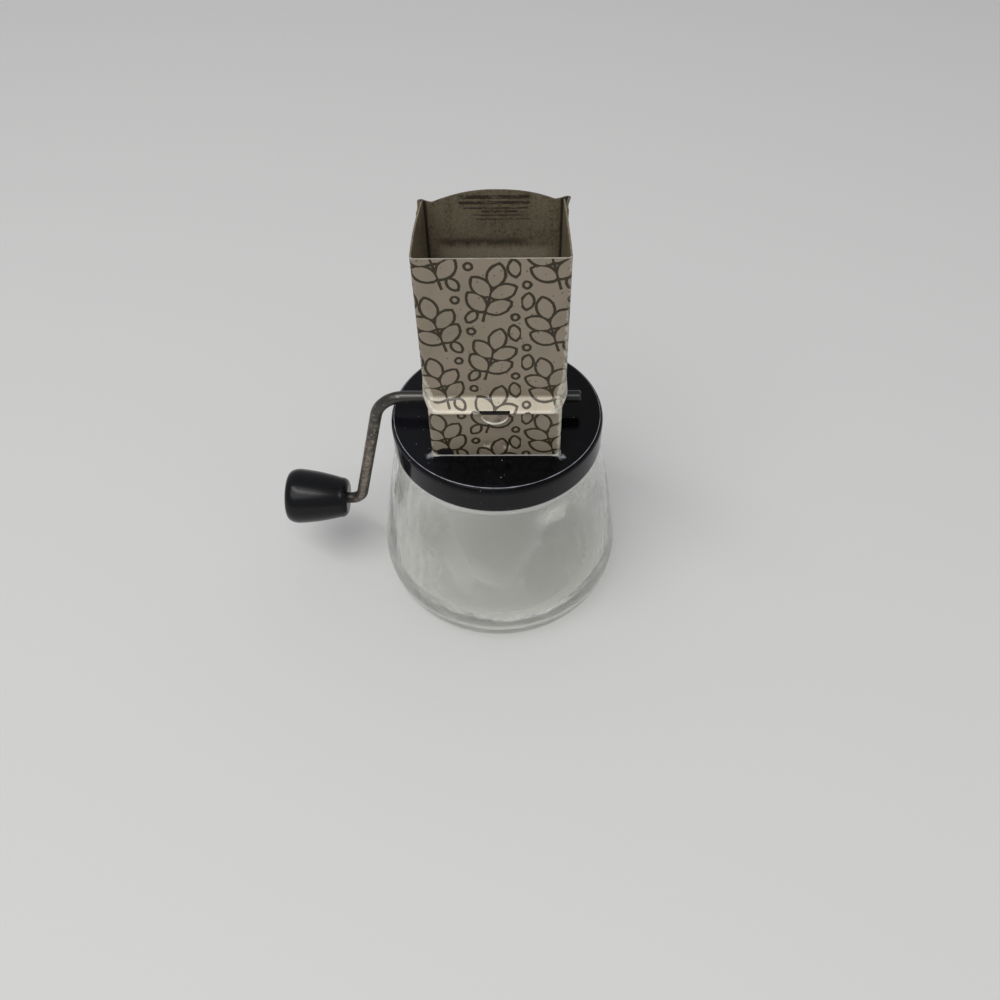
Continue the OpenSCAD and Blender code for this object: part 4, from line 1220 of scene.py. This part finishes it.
def makeTab(name, side):
    spec = tabSpec
    steps, ringCount = spec["steps"], spec["rings"]
    topZ = beadLow + spec["top"]
    wall = hopperSpec["neckDepth"] / 2
    points = []
    for k in range(ringCount + 1):
        share = k / ringCount
        width = spec["halfW"] * (spec["narrow"] + (1 - spec["narrow"]) * share)
        for i in range(steps + 1):
            a = math.pi * i / steps
            out = wall + spec["thick"] + spec["lip"] * share ** 2 * math.sin(a) ** spec["lipPower"]
            z = topZ - spec["drop"] * math.sin(a) * share
            points.append(Vector((-width * math.cos(a), side * out, z)))
    count = len(points)
    points += [Vector((p.x, p.y - side * spec["thick"], p.z)) for p in points]
    faces = []
    marks = []
    for k in range(ringCount):
        for i in range(steps):
            a = k * (steps + 1) + i
            b = a + steps + 1
            faces.append((a, b, b + 1, a + 1))
            faces.append((count + a, count + a + 1, count + b + 1, count + b))
            # painted highlight: faces near the lower rim of the tab's face take the pale edge finish
            low = math.sin(math.pi * (i + 0.5) / steps)
            bright = (k + 0.5) / ringCount > spec["bright"] + (1 - spec["bright"]) * (1 - low)
            marks += [1 if bright else 0, 0]
    outer = list(range(count - steps - 1, count)) + list(range(steps, -1, -1))
    for a, b in zip(outer, outer[1:] + outer[:1]):
        faces.append((a, count + a, count + b, b))
        marks.append(0)
    # painted shade: a black block just inside the slot, in the comb finish that is black there
    root = len(points)
    for x in (-spec["slotShadeHalf"], spec["slotShadeHalf"]):
        for y in spec["slotShadeY"]:
            points += [Vector((x, side * (wall - y), beadLow + z)) for z in spec["slotShadeZ"]]
    box = ((0, 4, 5, 1), (2, 3, 7, 6), (0, 1, 3, 2), (4, 6, 7, 5), (1, 5, 7, 3), (0, 2, 6, 4))
    faces += [tuple(root + i for i in face) for face in box]
    marks += [2] * len(box)
    if side > 0:
        faces = [tuple(reversed(face)) for face in faces]
    piece = makePiece(name, points, faces, ["tab", "edge", "comb"], marks, sharp=50)
    finishPiece(piece, "cap", "bare_tin")


makeTab("frontLockTab", -1)
makeTab("rearLockTab", 1)

# nodes that keep their own shape get a finish
keptFinishes = {"cap_liner": "board", "front_comb": "comb", "rear_comb": "comb", "knob_push_nut": "steel",
                "rotor_spacers": "steel", "left_washer": "steel", "right_washer": "steel"}
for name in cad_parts:
    key = "steel" if name.startswith("rotor_tine_") else keptFinishes.get(name)
    if key:
        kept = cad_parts[name]
        kept.data.materials.clear()
        kept.data.materials.append(finishes[key])
print("cap, crank and combs made")


# floor, lamps and world, in metres
stageSpec = {"floor": (0.785, 0.78, 0.765, 1), "size": 6.0, "world": (0.348, 0.352, 0.362, 1),
             "behindGlass": (0.6, 0.6, 0.6, 1)}
lampSpecs = {"softLamp": {"at": (-0.35, -0.75, 1.45), "size": (1.6, 1.6), "watts": 10.0},
             "stripLamp": {"at": (-0.3, -0.46, 1.55), "size": (1.7, 0.16), "watts": 5.4}}
floorMesh = bpy.data.meshes.new("floor")
half = stageSpec["size"] / 2
floorPoints = [(-half, -half, 0), (half, -half, 0), (half, half, 0), (-half, half, 0)]
floorMesh.from_pydata(floorPoints, [], [(0, 1, 2, 3)])
floor = bpy.data.objects.new("floor", floorMesh)
scene.collection.objects.link(floor)
floorFinish, floorShader, floorPlace = startFinish("paleFloor", {"Base Color": stageSpec["floor"]})
feed(floorShader, rough=0.62 + floorPlace.noise(30, 2) * 0.12)
floorMesh.materials.append(floorFinish)

for name, spec in lampSpecs.items():
    lamp = bpy.data.objects.new(name, bpy.data.lights.new(name, "AREA"))
    lamp.data.shape = "ELLIPSE"
    lamp.data.size, lamp.data.size_y = spec["size"]
    lamp.data.energy = spec["watts"]
    lamp.location = spec["at"]
    lamp.rotation_euler = (-Vector(spec["at"])).to_track_quat("-Z", "Y").to_euler()
    scene.collection.objects.link(lamp)

# a paler world where it is seen through the glass
world = bpy.data.worlds.new("studio")
world.use_nodes = True
throughGlass = Wire(world.node_tree.nodes.new("ShaderNodeLightPath").outputs["Is Transmission Ray"])
sky = throughGlass.mix(stageSpec["world"], stageSpec["behindGlass"])
world.node_tree.links.new(sky.socket, world.node_tree.nodes["Background"].inputs["Color"])
scene.world = world
scene.view_settings.view_transform = "Standard"
print("stage set")
